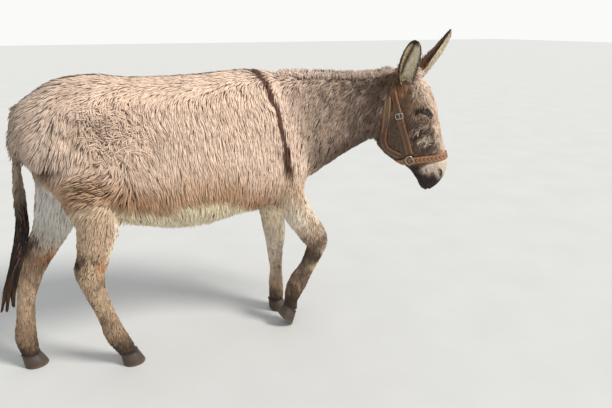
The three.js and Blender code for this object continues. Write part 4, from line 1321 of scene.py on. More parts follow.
@dataclass(frozen=True)
class Ear:
    """A cupped leaf: crescents wrapped round an axis from its base to its tip, in the head's
    frame. Its rear edge bows out by `bow`; its hollow looks along `facing`."""

    name: str
    base: tuple[float, float, float]
    tip: tuple[float, float, float]
    facing: tuple[float, float, float]
    bow: float
    chart: tuple[float, float]  # lower left corner of its two squares on the map
    half_width: float = 34.0
    wall: float = 4.6
    cup: float = 1.3
    coat: float = 1.2
    slit: tuple[float, float, float] = (-0.45, 0.2, 0.24)  # turn at base and tip, half width
    pale_rim: float = 0.0

    def axes(self) -> tuple[Array, Array, Array, float]:
        """Directions to the tip, out of the hollow and across, and the length."""
        axis = np.array(self.tip) - np.array(self.base)
        length = float(np.linalg.norm(axis))
        axis = axis / length
        opening = np.array(self.facing)
        opening = unit(opening - axis * (opening @ axis))
        return axis, opening, np.cross(axis, opening), length

    def point(self, t: Array, turn: Array, inner: Array) -> Array:
        """Places on the leaf.

        Args:
            t: 0 at the base, 1 at the tip.
            turn: -1 at one edge, 1 at the other.
            inner: 0 on the back, 1 on the hollow side.

        Returns:
            Points of the head's frame: centre - opening * cos(a) * r + across * sin(a) * r.
        """
        axis, opening, across, length = self.axes()
        width = self.half_width * (0.66 + 1.5 * t - 0.3 * t * t) * np.sqrt(np.clip(1.0 - t**2.4, 0, 1)) + 2.0
        width = width - self.coat
        wrap = self.cup * (1.35 - 0.75 * t)
        radius = width / np.sin(np.minimum(wrap, math.pi / 2))
        wall = np.minimum(self.wall, radius * 0.5) * (1.0 - 0.45 * np.abs(turn) ** 3)
        middle = (np.array(self.base) + axis * (t * length)[..., None]
                  + across * (self.bow * np.sin(math.pi * t**0.8))[..., None]
                  + opening * (radius - self.half_width * 0.4 + self.coat)[..., None])
        angle = turn * wrap
        reach = (radius - inner * wall)[..., None]
        return middle + reach * (across * np.sin(angle)[..., None] - opening * np.cos(angle)[..., None])

    def marks(self, t: Array, turn: Array, inner: Array, points: Array) -> Array:
        """Colour of the leaf: brown back with a dark tip and rim, cream hair inside with a dark
        slit down the middle, grey-cream as painted shade on one side of the slit and bright cream as
        painted light on the other."""
        grain = noise(points, 9, 101)
        back = blend(filled(Hue.tan * 0.5, points), Hue.dark, ramp(t + 0.15 * grain, 0.6, 0.9))
        back = blend(back, Hue.dark, ramp(np.abs(turn) + 0.08 * grain, 0.70, 0.9))
        back = blend(back, Hue.rust, bell(t, 0.25, 0.2) * ramp(grain, -0.2, 0.5) * 0.6)
        off = turn - (self.slit[0] + (self.slit[1] - self.slit[0]) * t + 0.05 * grain)
        # painted shade and light: grey-cream on the shaded side of the slit, bright cream on the lit side
        hollow = blend(filled(linear(194, 174, 138), points), linear(250, 236, 206), ramp(off, 0.02, 0.3))
        dark = bell(off, 0.0, self.slit[2]) * ramp(t, 0.12, 0.3) * ramp(t, 0.95, 0.8)
        hollow = blend(hollow, Hue.dark, dark * 0.97)
        edge = 1.0 - self.pale_rim * (turn > 0)
        hollow = blend(hollow, Hue.dark, ramp(t + 0.06 * grain, 0.82, 0.93) * edge)
        return blend(back, blend(hollow, Hue.dark, ramp(np.abs(turn), 0.88, 0.98) * edge * 0.9), inner)

    def locks(self, count: int, inner: bool) -> Locks:
        """Short hair along the back, or longer pale hair that fills the hollow.

        Args:
            count: number of locks.
            inner: which side they grow on.

        Returns:
            The locks, in the plan.
        """
        rng = np.random.default_rng(SEED + (5 if inner else 4) + len(self.name))
        t = rng.random(count) ** 0.8 * 0.97
        turn = rng.uniform(-1.0, 1.0, count)
        if inner:
            turn = np.sign(turn) * np.abs(turn) ** 0.6
        side = np.full(count, float(inner))
        step, out = 0.01, 1.0 if inner else -1.0
        root = self.point(t, turn, side)
        ahead = unit(self.point(np.minimum(t + step, 0.99), turn, side) - root + 1e-6)
        across = unit(self.point(t, np.clip(turn + step, -1, 1.01), side) - root + 1e-6)
        _, opening, _, _ = self.axes()
        normal = np.cross(ahead, across)
        normal *= np.sign(dot(normal, opening)) * out
        normal = np.where(np.linalg.norm(normal, axis=1, keepdims=True) > 0.2, normal, opening * out)
        rim = ramp(np.abs(turn), 0.75, 1.0)
        if inner:
            length = (8.0 + 7.0 * rng.random(count)) * (1.05 - 0.5 * t + 1.3 * ramp(t, 0.16, 0.04))
            slit = turn - self.slit[0] - (self.slit[1] - self.slit[0]) * t
            length = length * (1.0 + 0.5 * rim) * (1.0 - 0.7 * bell(slit, 0.0, self.slit[2]))
            rise = 0.22 + 0.25 * rng.random(count)
            lean = -0.5 * np.sign(turn) * (0.4 + 0.6 * rng.random(count))
        else:
            shaggy = self.pale_rim * ramp(t, 0.62, 0.3) * ramp(turn, 0.2, -0.3)
            length = (6.0 + 4.0 * rng.random(count)) * (1.0 + 0.6 * ramp(t, 0.6, 0.1) + 2.6 * shaggy)
            length = length * (1.0 - 0.4 * ramp(t, 0.6, 1.0))
            rise = 0.16 + (0.14 + 0.9 * shaggy) * rng.random(count)
            lean = 0.35 * np.sign(turn) * rim
        lean, rise = lean[:, None], rise[:, None]
        start = unit(ahead + across * lean + normal * rise * 1.4) @ HEAD.axes.T
        end = unit(ahead + across * lean * 1.3 + normal * rise * 0.4) @ HEAD.axes.T
        colour = self.marks(t, turn, side, root) * (0.85 + 0.3 * rng.random((count, 1)))
        drift = 0.8 * rng.standard_normal((count, 3))
        width = (2.4 if inner else 2.0) * (0.7 + 0.6 * rng.random(count))
        square = self.chart[0] + 0.008 + 0.11 * side
        chart = np.stack([square + 0.09 * (0.5 + 0.48 * turn), self.chart[1] + 0.01 + 0.17 * t], 1)
        wave = np.stack([np.full(count, 0.5), rng.random(count)], 1)
        return Locks(HEAD.out(root), start, end, drift, length, width, colour, chart, wave,
                     unit(normal) @ HEAD.axes.T)


EARS = (Ear("ear_right", (50, -66, 16), (-98, -124, 98), (0.48, -0.79, 0.38), -14.0, (0.75, 0.02)),
        Ear("ear_left", (48, 62, 46), (-90, 98, 240), (0.78, -0.31, 0.54), -12.0, (0.50, 0.02),
            slit=(-0.25, -0.2, 0.34), pale_rim=0.8))


# ---- mane and tail


def crest_locks(count: int = 5200, half: float = 13.0, height: float = 24.0) -> Locks:
    """Short upright hair along the crest of the neck, fuller between the ears: pale outside,
    dark along the middle.

    Args:
        count: number of locks.
        half: half width of the strip they grow on.
        height: how high they stand.

    Returns:
        The locks, in the plan.
    """
    rng = np.random.default_rng(SEED + 20)
    at = 0.30 + 6.60 * rng.random(count)
    rows = through_rows(NECK_ROWS, at)
    side = np.clip(rng.normal(0.0, 0.55, count), -1.25, 1.25)
    up = np.array([0.0, 0.0, 1.0])
    crest = rows[:, 2] + rows[:, 3] - 9.0 - 5.0 * np.abs(side) ** 2
    root = rows[:, :3] * [1, 1, 0] + up * crest[:, None] + ASIDE * (side * half)[:, None]
    stand = 0.45 + 0.55 * (0.45 + 0.55 * ramp(at, 0.3, 1.0))
    poll = ramp(at, 5.4, 6.3)
    length = (0.75 + 0.45 * rng.random(count)) * (height * stand + 9 + 9 * poll)
    label = nearest_cell(root, 15.0, 95)[1]
    tilt = ASIDE * (side * 0.55 + 0.5 * (label - 0.5))[:, None]
    start = unit(up + tilt * 0.6 + HEADING * (0.2 * rng.standard_normal((count, 1))))
    end = unit(up * 0.8 + tilt * 1.3 - HEADING * (0.55 - 0.9 * label[:, None]))
    pale = blend(filled(linear(246, 224, 206), root), Hue.neck,
                 np.maximum(0.5 * label, 0.7 * ramp(at, 2.0, 3.6)) * (1.0 - 0.6 * poll))
    centre = bell(side + 0.25, 0.0, 0.16) * ramp(noise(root, 40, 99), -0.35, 0.1) * (1.0 - 0.9 * poll)
    drift = 2.0 * rng.standard_normal((count, 3))
    width = 4.4 * (0.7 + 0.5 * rng.random(count))
    return Locks(root, start, end, drift, length, width, blend(pale, Hue.dark, centre * 0.97),
                 unwrapped(root, np.full(count, Region.NECK.value)),
                 np.stack([np.full(count, 1.6), rng.random(count)], 1),
                 # tone: painted shade at the roots, and tips brighter as painted highlight along the mane's
                 # top
                 unit(up + ASIDE * side[:, None]), tone=(0.74, 0.93, 1.05, 1.15))


SWITCH_STATIONS = (0.0, 0.12, 0.26, 0.42, 0.6, 0.8)


def in_tail(at: Array, angle: Array, share: Array) -> Array:
    """Places in the tail: on its axis at row `at`, `share` of its radius out at `angle`."""
    flat = np.clip(at, 0.0, len(TAIL_ROWS) - 1.0)
    inside = TAIL.surface(flat, angle[:, None])[:, 0]
    return through_rows(TAIL_ROWS, flat)[:, :3] * (1.0 - share[:, None]) + inside * share[:, None]


def tail_piece(name: str, count: int = 2600) -> Piece:
    """The long hair of the tail as one mesh: every lock follows the tail's axis at its own
    angle and share of the radius, from its own row down, and thins out to a point."""
    rng = np.random.default_rng(SEED + 30)
    first = 4.2 + 3.9 * rng.random(count) ** 1.1
    last = np.minimum(first + 2.2 + 3.6 * rng.random(count), 10.9)
    angle = FULL_TURN * rng.random(count)
    share = np.sqrt(rng.random(count)) * 0.92
    width = 4.2 * (0.6 + 0.8 * rng.random(count))
    wander = 0.5 * rng.standard_normal((2, count))
    strand_of = rng.integers(0, 8, count)
    turned, outer = rng.random(8)[strand_of] * 2.0 * math.pi, rng.uniform(0.3, 1.9, 8)[strand_of]
    spread = np.stack([np.cos(turned), np.sin(turned), 0.0 * turned], 1) * (14.0 * outer)[:, None]
    spread = spread + 3.0 * wander.T @ np.array([[1.0, 0.3, 0.0], [0.0, 1.0, 0.0]])
    middles = []
    for s in (*SWITCH_STATIONS, 1.0):
        at = first + (last - first) * s
        swing = angle + wander[0] * s + 0.35 * np.sin(5.0 * s + 9.0 * wander[1])
        apart = (s**1.5 * ramp(last, 7.0, 9.5))[:, None]
        strand = through_rows(TAIL_ROWS, np.minimum(at, 11.0))[:, :3] + spread
        middles.append(in_tail(at, swing, share * (1.0 - 0.25 * s)) * (1.0 - apart) + strand * apart)
    shape, _ = spindles(middles, np.array([0.3, 1.0, 0.1]), np.zeros(1),
                        [0.5 * width * (1.0 - 0.55 * s) for s in SWITCH_STATIONS])
    level = np.repeat([*SWITCH_STATIONS, 1.0], [3] * len(SWITCH_STATIONS) + [1])[:, None]
    base = np.where(rng.random((count, 1)) < 0.2, linear(84, 56, 38), linear(24, 19, 17))
    start = blend(base, linear(150, 132, 110), ramp(first, 5.0, 4.3))
    tip = blend(base, linear(112, 76, 50), ramp(last, 8.5, 10.8) * 0.8)
    colour = start[:, None] * ramp(0.45 - level, 0, 0.45) + base[:, None] * ramp(level, 0, 0.45)
    mix = ramp(level, 0.55, 1.0)
    return hair_piece(name, shape, SWITCH_STATIONS, colour * (1 - mix) + tip[:, None] * mix,
                      unwrapped(middles[0], np.full(count, Region.DOCK.value)),
                      (np.full(count, 0.012), angle, np.full(count, 0.25)))


# ---- eyes and hooves


def eyeball(name: str, side: int) -> Piece:
    """A dark eyeball with a level, oblong pupil: rings about the axis it looks along, with its
    colour painted per vertex."""
    fold = np.array([1.0, float(side), 1.0])
    out = unit(np.array([0.10, 0.90, 0.36]))
    long = unit(np.array([1.0, 0.0, 0.1]) - out * out[0])
    high = np.cross(out, long)
    polar = np.linspace(0.004, math.pi - 0.004, 64)[:, None]
    turn = round_turn(72)
    a, b, c = np.sin(polar) * np.cos(turn), np.sin(polar) * np.sin(turn), np.cos(polar) + 0.0 * turn
    grid = EYE_RADIUS * (a[..., None] * long + b[..., None] * high + c[..., None] * out)
    shape = skinned((grid + EYE_CENTRE) * fold)
    local = (shape.vertices * fold - EYE_CENTRE) / EYE_RADIUS
    a, b = local @ long, local @ high
    iris, pupil = np.hypot(a / 0.66, b / 0.58), np.hypot(a / 0.40, b / 0.17)
    colour = blend(filled(linear(70, 50, 40), local), linear(62, 38, 22), ramp(iris, 1.15, 0.95))
    rays = 0.5 + 0.5 * np.sin(46.0 * np.arctan2(b, a) + 3.0 * noise(local, 0.2, 7))
    colour = blend(colour, linear(84, 54, 30), ramp(iris, 1.0, 0.7) * rays * 0.5)
    piece = PLACE.head_piece(name, shape)
    paint(piece, "coat", blend(colour, linear(12, 10, 10), ramp(pupil, 1.15, 0.85)))
    return piece


HOOF_ROWS = np.array([  # coronet, middle and ground
    (0.0, 0.0, 0.0, 34.0, 34.0, 31.4, 2.1, 0.0), (5.85, 0.0, -26.1, 41.2, 37.2, 38.2, 2.1, 0.0),
    (13.0, 0.0, -58.0, 49.6, 41.6, 42.6, 2.1, 0.0)])
HOOF = Loft(HOOF_ROWS, level=(0.0, 0.0, -1.0))


@dataclass(frozen=True)
class Hoof:
    """One small upright hoof: a horn wall with growth rings, and a hollowed sole."""

    name: str
    x: float
    y: float
    z: float
    tip: float = 0.0

    def piece(self) -> Piece:
        """The wall's rings from coronet to ground and the sole's rings inwards, as one mesh."""
        at = np.linspace(0.0, 2.0, 74)
        turn = round_turn(80)
        wall = HOOF.surface(at, turn)
        middle = through_rows(HOOF_ROWS, at)[:, None, :3]
        down = np.clip(at / 2.0, 0, 1)[:, None] + 0.0 * turn
        to_heel = np.cos(turn + 0.5 * math.pi)
        rings = 0.45 * np.sin(58.0 * down + 1.6 * np.sin(turn + 0.7) + 0.9 * np.sin(3 * turn))
        rings = rings * (0.35 + 0.65 * np.sin(math.pi * np.clip(down * 1.3, 0, 1)) ** 0.5)
        swell = 2.6 * bell(down, 0.03, 0.06) - 1.1 * bell(down, 0.17, 0.05)
        cleft = -5.0 * bell(to_heel, 1.0, 0.02) * ramp(to_heel, 0.55, 1.0)
        worn = 0.5 + 0.5 * noise(wall.reshape(-1, 3), 9, 111).reshape(down.shape)
        chips = -1.6 * ramp(down, 0.94, 1.0) * worn
        wall = wall + unit(wall - middle) * (rings + swell + cleft + chips)[..., None]
        sole = []
        for share, lift in ((0.93, 0.0), (0.88, 1.8), (0.80, 4.2), (0.5, 6.5), (0.15, 5.0)):
            ring = middle[-1] + (wall[-1] - middle[-1]) * share
            frog = bell(ring[:, 1], 0.0, 8.0) * ramp(ring[:, 0], 22.0, -25.0) * 3.5
            sole.append(ring + np.maximum(lift - frog, 0)[:, None] * [0.0, 0.0, 1.0])
        grid = np.concatenate([wall, np.stack(sole)])
        colour = self.horn(grid, len(at))
        c, s = math.cos(self.tip), math.sin(self.tip)
        x, y, z = np.moveaxis(grid, -1, 0)
        moved = np.stack([x * c + z * s + self.x, y + self.y, np.maximum(z * c - x * s + self.z, 0.0)], -1)
        piece = PLACE.piece(self.name, skinned(moved))
        ends = np.stack([colour[0].mean(0), colour[-1].mean(0)])
        paint(piece, "coat", np.concatenate([colour.reshape(-1, 3), ends]))
        return piece

    @staticmethod
    def horn(grid: Array, wall: int) -> Array:
        """Grey-brown horn, paler and worn towards the ground, dusty in its rings and on the
        sole, which starts after `wall` rings."""
        points = grid.reshape(-1, 3)
        down = np.clip(-points[:, 2] / 58.0, 0, 1)
        c = blend(filled(linear(66, 52, 42), points), linear(44, 34, 28), ramp(down, 0.28, 0.02))
        c = blend(c, linear(96, 78, 60), ramp(down + 0.12 * noise(points, 11, 113), 0.72, 1.0) * 0.8)
        streak = noise(points * [1.0, 1.0, 0.12], 2.4, 115)
        band = np.sin(58.0 * down + 0.9 * noise(points, 18, 117))
        c = c * (1.0 + 0.10 * streak + 0.09 * band)[:, None]
        c = blend(c, linear(96, 80, 64), np.repeat(np.arange(len(grid)) >= wall, grid.shape[1]) * 0.9)
        return c.reshape(grid.shape)


HOOVES = (Hoof("hoof_fore_left", 477, TRACK, 58), Hoof("hoof_fore_right", 494, -TRACK, 83, 0.8),
          Hoof("hoof_hind_left", -604, TRACK, 58), Hoof("hoof_hind_right", -236, -TRACK, 58))


# ---- headcollar

CROWN_LINE = np.array([(16, -74), (2, 20), (-14, 130)], float)
CHEEK_LINE = np.array([(20, -30), (90, -33), (190, -31), (324, -33)], float)
THROAT_LINE = np.array([(52, -52), (112, -69), (180, -95), (238, -119), (284, -116), (326, -72)], float)
NOSE_LINE = np.array([(380, 140), (372, 60), (356, -40), (360, -140)], float)
KEEPER_LINE = np.array([(190, -47), (189, -31), (190, -15)], float)
SIDES = (("right", -1), ("left", 1))
BATCH = 256  # rays worked out together


def head_and_neck() -> Shape:
    """The coat of head and upper neck as a mesh in the head's frame, on which the tack lies."""
    neck = skinned(NECK.surface(np.linspace(5.0, 7.0, 18), round_turn(40)))
    return joined([SKULL.shape(54, 44), Shape(HEAD.into(neck.vertices), neck.triangles)])


FORM = head_and_neck()


def reached(start: Array, way: Array) -> Array:
    """The last crossing of rays with the form.

    Args:
        start: origins of the rays, (..., 3), inside the form.
        way: unit directions, (..., 3).

    Returns:
        Distance to the farthest crossing, 0 where there is none, by the triple products of
        ray and triangle.
    """
    a, b, c = (FORM.vertices[FORM.triangles[:, i]].astype(np.float32) for i in range(3))
    e1, e2 = b - a, c - a
    origins, ways = (rows.reshape(-1, 3).astype(np.float32) for rows in (start, way))
    far = np.zeros(len(origins))
    for first in range(0, len(origins), BATCH):
        o, d = origins[first:first + BATCH, None], ways[first:first + BATCH, None]
        p = np.cross(d, e2[None])
        det = (p * e1).sum(-1)
        det = np.where(np.abs(det) < 1e-9, 1e-9, det)
        t = o - a[None]
        u = (t * p).sum(-1) / det
        q = np.cross(t, e1[None])
        v = (d * q).sum(-1) / det
        w = (q * e2).sum(-1) / det
        hit = (u >= -1e-4) & (v >= -1e-4) & (u + v <= 1.0 + 1e-4) & (w > 0.0)
        far[first:first + BATCH] = np.where(hit, w, 0.0).max(1)
    return far.reshape(start.shape[:-1])


def on_form(place: Array, side: int, lift: Array | float = 0.0) -> Array:
    """Places of the side view, (..., 2), on the form's left or right and `lift` outside it."""
    start = np.stack([place[..., 0], 0.0 * place[..., 0], place[..., 1]], -1)
    way = np.broadcast_to(np.array([0.0, float(side), 0.0]), start.shape)
    return start + way * (reached(start, way) + lift)[..., None]


@dataclass
class Strap:
    """A leather strap laid on the form: a line in the side view, swept over its width."""

    name: str
    line: Array
    side: int = 0  # 1 left, -1 right, 0 for one that goes right round
    width: float = 25.0
    span: tuple[float, float] = (0.0, FULL_TURN)
    steps: int = 120
    across: int = 11
    lift: float = 1.4
    thickness: float = 4.0
    hub: float = 10.0  # height of the middle of the sweep, for one that goes round

    @property
    def closed(self) -> bool:
        """Whether its ends meet."""
        return not self.side and self.span[1] - self.span[0] > 0.98 * FULL_TURN

    @cached_property
    def sheet(self) -> tuple[Array, Array]:
        """The sheet in which the strap lies, found by rays from inside the form: sideways for a
        strap of one side, all round for the others.

        Returns:
            Points on the form, (steps, across, 3), and the strap's outward directions there.
        """
        v = np.linspace(-1.0, 1.0, self.across)[None] * self.width / 2.0
        if self.side:
            curve = through_rows(self.line, np.linspace(0, len(self.line) - 1.0, self.steps))
            along = unit(np.gradient(curve, axis=0))
            place = curve[:, None] + np.stack([-along[:, 1], along[:, 0]], 1)[:, None] * v[..., None]
            points = on_form(place, self.side)
        else:
            turn = np.linspace(*self.span, self.steps, endpoint=not self.closed)[:, None] + 0.0 * v
            way = np.stack([0.0 * turn, np.cos(turn), np.sin(turn)], -1)
            dense = through_rows(self.line, np.linspace(0, len(self.line) - 1.0, 60))
            dense = dense[dense[:, 1].argsort()]
            height = np.full(turn.shape, self.hub)
            for _ in range(3):
                x = on_line(height, dense[:, ::-1]) + v
                start = np.stack([x, 0.0 * x, np.full(x.shape, self.hub)], -1)
                far = reached(start, way)
                height = self.hub + far * np.sin(turn)
            points = start + way * far[..., None]
        for _ in range(6):  # evened out along the strap, as stiff leather lies
            if self.closed:
                points = (np.roll(points, 1, 0) + 2 * points + np.roll(points, -1, 0)) / 4.0
            else:
                inner = (points[:-2] + 2 * points[1:-1] + points[2:]) / 4.0
                points = np.concatenate([points[:1], inner, points[-1:]])
        normal = unit(np.cross(np.gradient(points, axis=0), np.gradient(points, axis=1)))
        return points, normal * np.sign(dot(normal, points * [0.0, 1.0, 1.0] - [0.0, 0.0, self.hub]))

    def piece(self) -> Piece:
        """The strap: outer face, rounded edges and inner face as closed rings along it."""
        points, normal = self.sheet
        v = np.linspace(-1.0, 1.0, self.across)
        edge = np.abs(v[:, None]) ** 9
        outer = points + normal * (self.lift + self.thickness * (1.0 - 0.45 * edge))
        inner = (points + normal * (self.lift + self.thickness * 0.30 * edge))[:, ::-1]
        piece = PLACE.head_piece(self.name, skinned(np.concatenate([outer, inner], 1), self.closed))
        gaps = np.linalg.norm(np.diff(points[:, self.across // 2], axis=0), axis=1)
        run = np.concatenate([[0.0], np.cumsum(gaps)]) / MILLIMETRES
        share = 0.5 + 0.5 * np.concatenate([v, v[::-1]])
        uv = np.stack(np.broadcast_arrays(share, run[:, None]), -1).reshape(-1, 2)
        if not self.closed:
            uv = np.concatenate([uv, [[0.5, 0.0], [0.5, run[-1]]]])
        corners = uv[mesh_arrays(piece.data).triangles]
        wrap = np.ptp(corners[..., 1], axis=1)[:, None] > 0.5 * run[-1]
        early = corners[..., 1] < 0.25 * run[-1]
        corners[..., 1] += np.where(wrap & early, run[-1] + run[-1] / len(run), 0.0)
        lay_map(piece, "Strap", corners.reshape(-1, 2))
        return piece


@dataclass
class MetalLoop:
    """A square-cornered ring of round bar that lies on the form."""

    name: str
    side: int
    at: tuple[float, float]
    length: float
    width: float
    turn: float = 0.0
    bar: float = 2.7
    lift: float = 9.0
    prong: bool = False

    def swept(self, flat: Array, closed: bool, radius: float, lift: Array) -> Shape:
        """A round bar along a line of the side view laid on the form."""
        c, s = math.cos(self.turn), math.sin(self.turn)
        points = on_form(flat @ [[c, s], [-s, c]] + self.at, self.side, lift)
        along = np.roll(points, -1, 0) - np.roll(points, 1, 0) if closed else np.gradient(points, axis=0)
        along = unit(along)
        across = unit(np.cross(along, [0.0, float(self.side), 0.0]))
        up = np.cross(across, along)
        turn = round_turn(14)[..., None]
        bar = np.cos(turn) * across[:, None] + np.sin(turn) * up[:, None]
        return skinned(points[:, None] + radius * bar, closed)

    def piece(self) -> Piece:
        """The ring on an oval of power five, and its prong where it is a buckle."""
        oval = np.stack([np.cos(round_turn(72)[0]), np.sin(round_turn(72)[0])], 1)
        reach = np.array([self.length, self.width]) / 2 - self.bar
        flat = np.sign(oval) * np.abs(oval) ** 0.4 * reach
        shapes = [self.swept(flat, True, self.bar, np.full(len(flat), self.lift - 1.0))]
        if self.prong:
            run = np.linspace(-0.5, 0.56, 20)
            line = np.stack([run * self.length, 0.6 + 0 * run], 1)
            shapes.append(self.swept(line, False, 1.7, self.lift + 0.8 + 1.6 * np.cos(3 * run)))
        return PLACE.head_piece(self.name, joined(shapes))


STRAPS = (
    Strap("noseband", NOSE_LINE, width=29.0, steps=150, hub=12.0),
    Strap("crownpiece", CROWN_LINE, width=29.0, steps=110, hub=0.0, span=(-0.62, math.pi + 0.62)),
    *(strap for word, side in SIDES for strap in (
        Strap("cheek_strap_" + word, CHEEK_LINE, side, steps=90, lift=1.7),
        Strap("throat_strap_" + word, THROAT_LINE, side, steps=90, lift=1.2),
        Strap("keeper_" + word, KEEPER_LINE, side, width=8.0, steps=24, lift=5.0, thickness=2.4))))
LOOPS = tuple(loop for word, side in SIDES for loop in (
    MetalLoop("ring_" + word, side, (352, -40), 38, 34, 0.3),
    MetalLoop("buckle_" + word, side, (160, -32), 24, 34, bar=2.2, prong=True)))


def from_straps(points: Array) -> Array:
    """How far points of the plan lie from the middle lines of the straps, as a share of
    half their width."""
    local = HEAD.into(points)
    best = np.full(len(points), 9.0)
    for strap in STRAPS:
        if strap.name.startswith("keeper"):
            continue
        line = strap.sheet[0][::4, strap.across // 2]
        zone = np.abs(local - line.mean(0)).max(1) < 320.0
        gap = np.linalg.norm(local[zone, None] - line[None], axis=2).min(1)
        best[zone] = np.minimum(best[zone], gap / (strap.width / 2.0))
    return best


# ---- finishes


@dataclass
class Graph:
    """Builds the node graph of one material or world."""

    owner: Material | bpy.types.World

    def __post_init__(self) -> None:
        """Empties the graph."""
        self.owner.use_nodes = True
        self.owner.node_tree.nodes.clear()

    @classmethod
    def start(cls, name: str) -> "Graph":
        """A material with an empty graph."""
        return cls(bpy.data.materials.new(name))

    def add(self, kind: str, inputs: Optional[dict] = None, **settings: object) -> bpy.types.Node:
        """Adds a node.

        Args:
            kind: node type without its "ShaderNode" prefix.
            inputs: socket name or number to a value, to linear light, or to a socket that is
                linked to it.
            settings: the node's own properties.

        Returns:
            The node.
        """
        node = self.owner.node_tree.nodes.new("ShaderNode" + kind)
        for key, value in settings.items():
            setattr(node, key, value)
        for key, value in (inputs or {}).items():
            if isinstance(value, bpy.types.NodeSocket):
                self.owner.node_tree.links.new(value, node.inputs[key])
            else:
                node.inputs[key].default_value = (*value, 1.0) if isinstance(value, Array) else value
        return node

    def coat(self) -> Socket:
        """The colour painted per vertex."""
        return self.add("Attribute", attribute_name="coat").outputs["Color"]

    def map(self, name: str) -> Socket:
        """A piece's own map."""
        return self.add("UVMap", uv_map=name).outputs["UV"]

    def place(self) -> Socket:
        """Coordinates of the piece, in metres."""
        return self.add("TexCoord").outputs["Object"]

    def math(self, operation: str, *values: Socket | float) -> Socket:
        """A sum on numbers."""
        return self.add("Math", dict(enumerate(values)), operation=operation).outputs[0]

    def noise(self, vector: Socket, scale: float, detail: float = 3.0) -> Socket:
        """A noise texture's value."""
        return self.add("TexNoise", {"Vector": vector, "Scale": scale, "Detail": detail}).outputs["Fac"]

    def scaled(self, vector: Socket, x: float, y: float, z: float = 1.0) -> Socket:
        """Coordinates stretched along each axis."""
        return self.add("Mapping", {"Vector": vector, "Scale": (x, y, z)}).outputs["Vector"]

    def between(self, value: Socket, low: float, high: float, to_low: float = 0.0,
                to_high: float = 1.0) -> Socket:
        """A value mapped from one range to another and kept inside it."""
        return self.add("MapRange", {"Value": value, "From Min": low, "From Max": high, "To Min": to_low,
                                     "To Max": to_high}).outputs["Result"]

    def times(self, colour: Socket, value: Socket) -> Socket:
        """A colour multiplied by a grey value."""
        return self.add("VectorMath", {0: colour, 1: value}, operation="MULTIPLY").outputs["Vector"]

    def mixed(self, share: Socket, a: Socket | Array, b: Socket | Array) -> Socket:
        """Two colours blended."""
        return self.add("Mix", {0: share, 6: a, 7: b}, data_type="RGBA").outputs[2]

    def finish(self, colour: Socket, bump: Optional[Socket] = None, depth: float = 0.001,
               strength: float = 0.5, **constants: float) -> Material:
        """Closes the graph with a Principled shader.

        Args:
            colour: base colour.
            bump: height for the surface's fine relief.
            depth: metres that a height of one stands for.
            strength: of the relief.
            constants: the shader's sockets by name, with spaces written as underscores.

        Returns:
            The material.
        """
        inputs = {key.replace("_", " "): value for key, value in constants.items()}
        inputs["Base Color"] = colour
        if bump is not None:
            inputs["Normal"] = self.add("Bump", {"Height": bump, "Distance": depth,
                                                 "Strength": strength}).outputs["Normal"]
        shader = self.add("BsdfPrincipled", inputs)
        self.add("OutputMaterial", {"Surface": shader.outputs["BSDF"]})
        return self.owner


def hair_finish(name: str, roughness: float, strands: float, contrast: float) -> Material:
    """Locks of hair: the coat's colour times a noise drawn out along each lock, which raises
    its strands as well."""
    g = Graph.start(name)
    coat = g.coat()
    grain = g.noise(g.scaled(g.map("Strand"), strands, 60.0), 1.0, 2.0)
    light = g.between(grain, 0.3, 0.7, 1.0 - contrast, 1.0 + contrast)
    return g.finish(g.times(coat, light), grain, 0.0009, 0.6, Roughness=roughness, Specular_IOR_Level=0.28)


def skin_finish() -> Material:
    """Skin with its finest hair: the painted colour times a short grain; two noises give the
    relief."""
    g = Graph.start("short_coat")
    coat, place = g.coat(), g.place()
    fine = g.noise(g.scaled(place, 1.0, 1.0, 0.45), 900.0)
    broad = g.noise(place, 160.0, 4.0)
    light = g.between(fine, 0.3, 0.7, 0.86, 1.14)
    height = g.math("ADD", fine, broad)
    return g.finish(g.times(coat, light), height, 0.0008, 0.45, Roughness=0.62, Specular_IOR_Level=0.3)


def horn_finish() -> Material:
    """Hoof horn: painted growth rings, fine upright tubules and a dull, dusty gloss."""
    g = Graph.start("hoof_horn")
    coat, place = g.coat(), g.place()
    grain = g.noise(g.scaled(place, 1.0, 1.0, 0.08), 1100.0)
    dust = g.noise(place, 70.0, 4.0)
    light = g.between(grain, 0.3, 0.7, 0.86, 1.12)
    gloss = g.between(dust, 0.35, 0.65, 0.42, 0.68)
    return g.finish(g.times(coat, light), grain, 0.0005, 0.5, Roughness=gloss)


def eye_finish() -> Material:
    """A wet, dark eye: the painted iris and pupil under a clear, sharp gloss."""
    g = Graph.start("eye_surface")
    coat, place = g.coat(), g.place()
    light = g.between(g.noise(place, 900.0), 0.3, 0.7, 0.8, 1.2)
    return g.finish(g.times(coat, light), Roughness=0.06, Coat_Weight=0.6, Coat_Roughness=0.03,
                    Specular_IOR_Level=0.6)


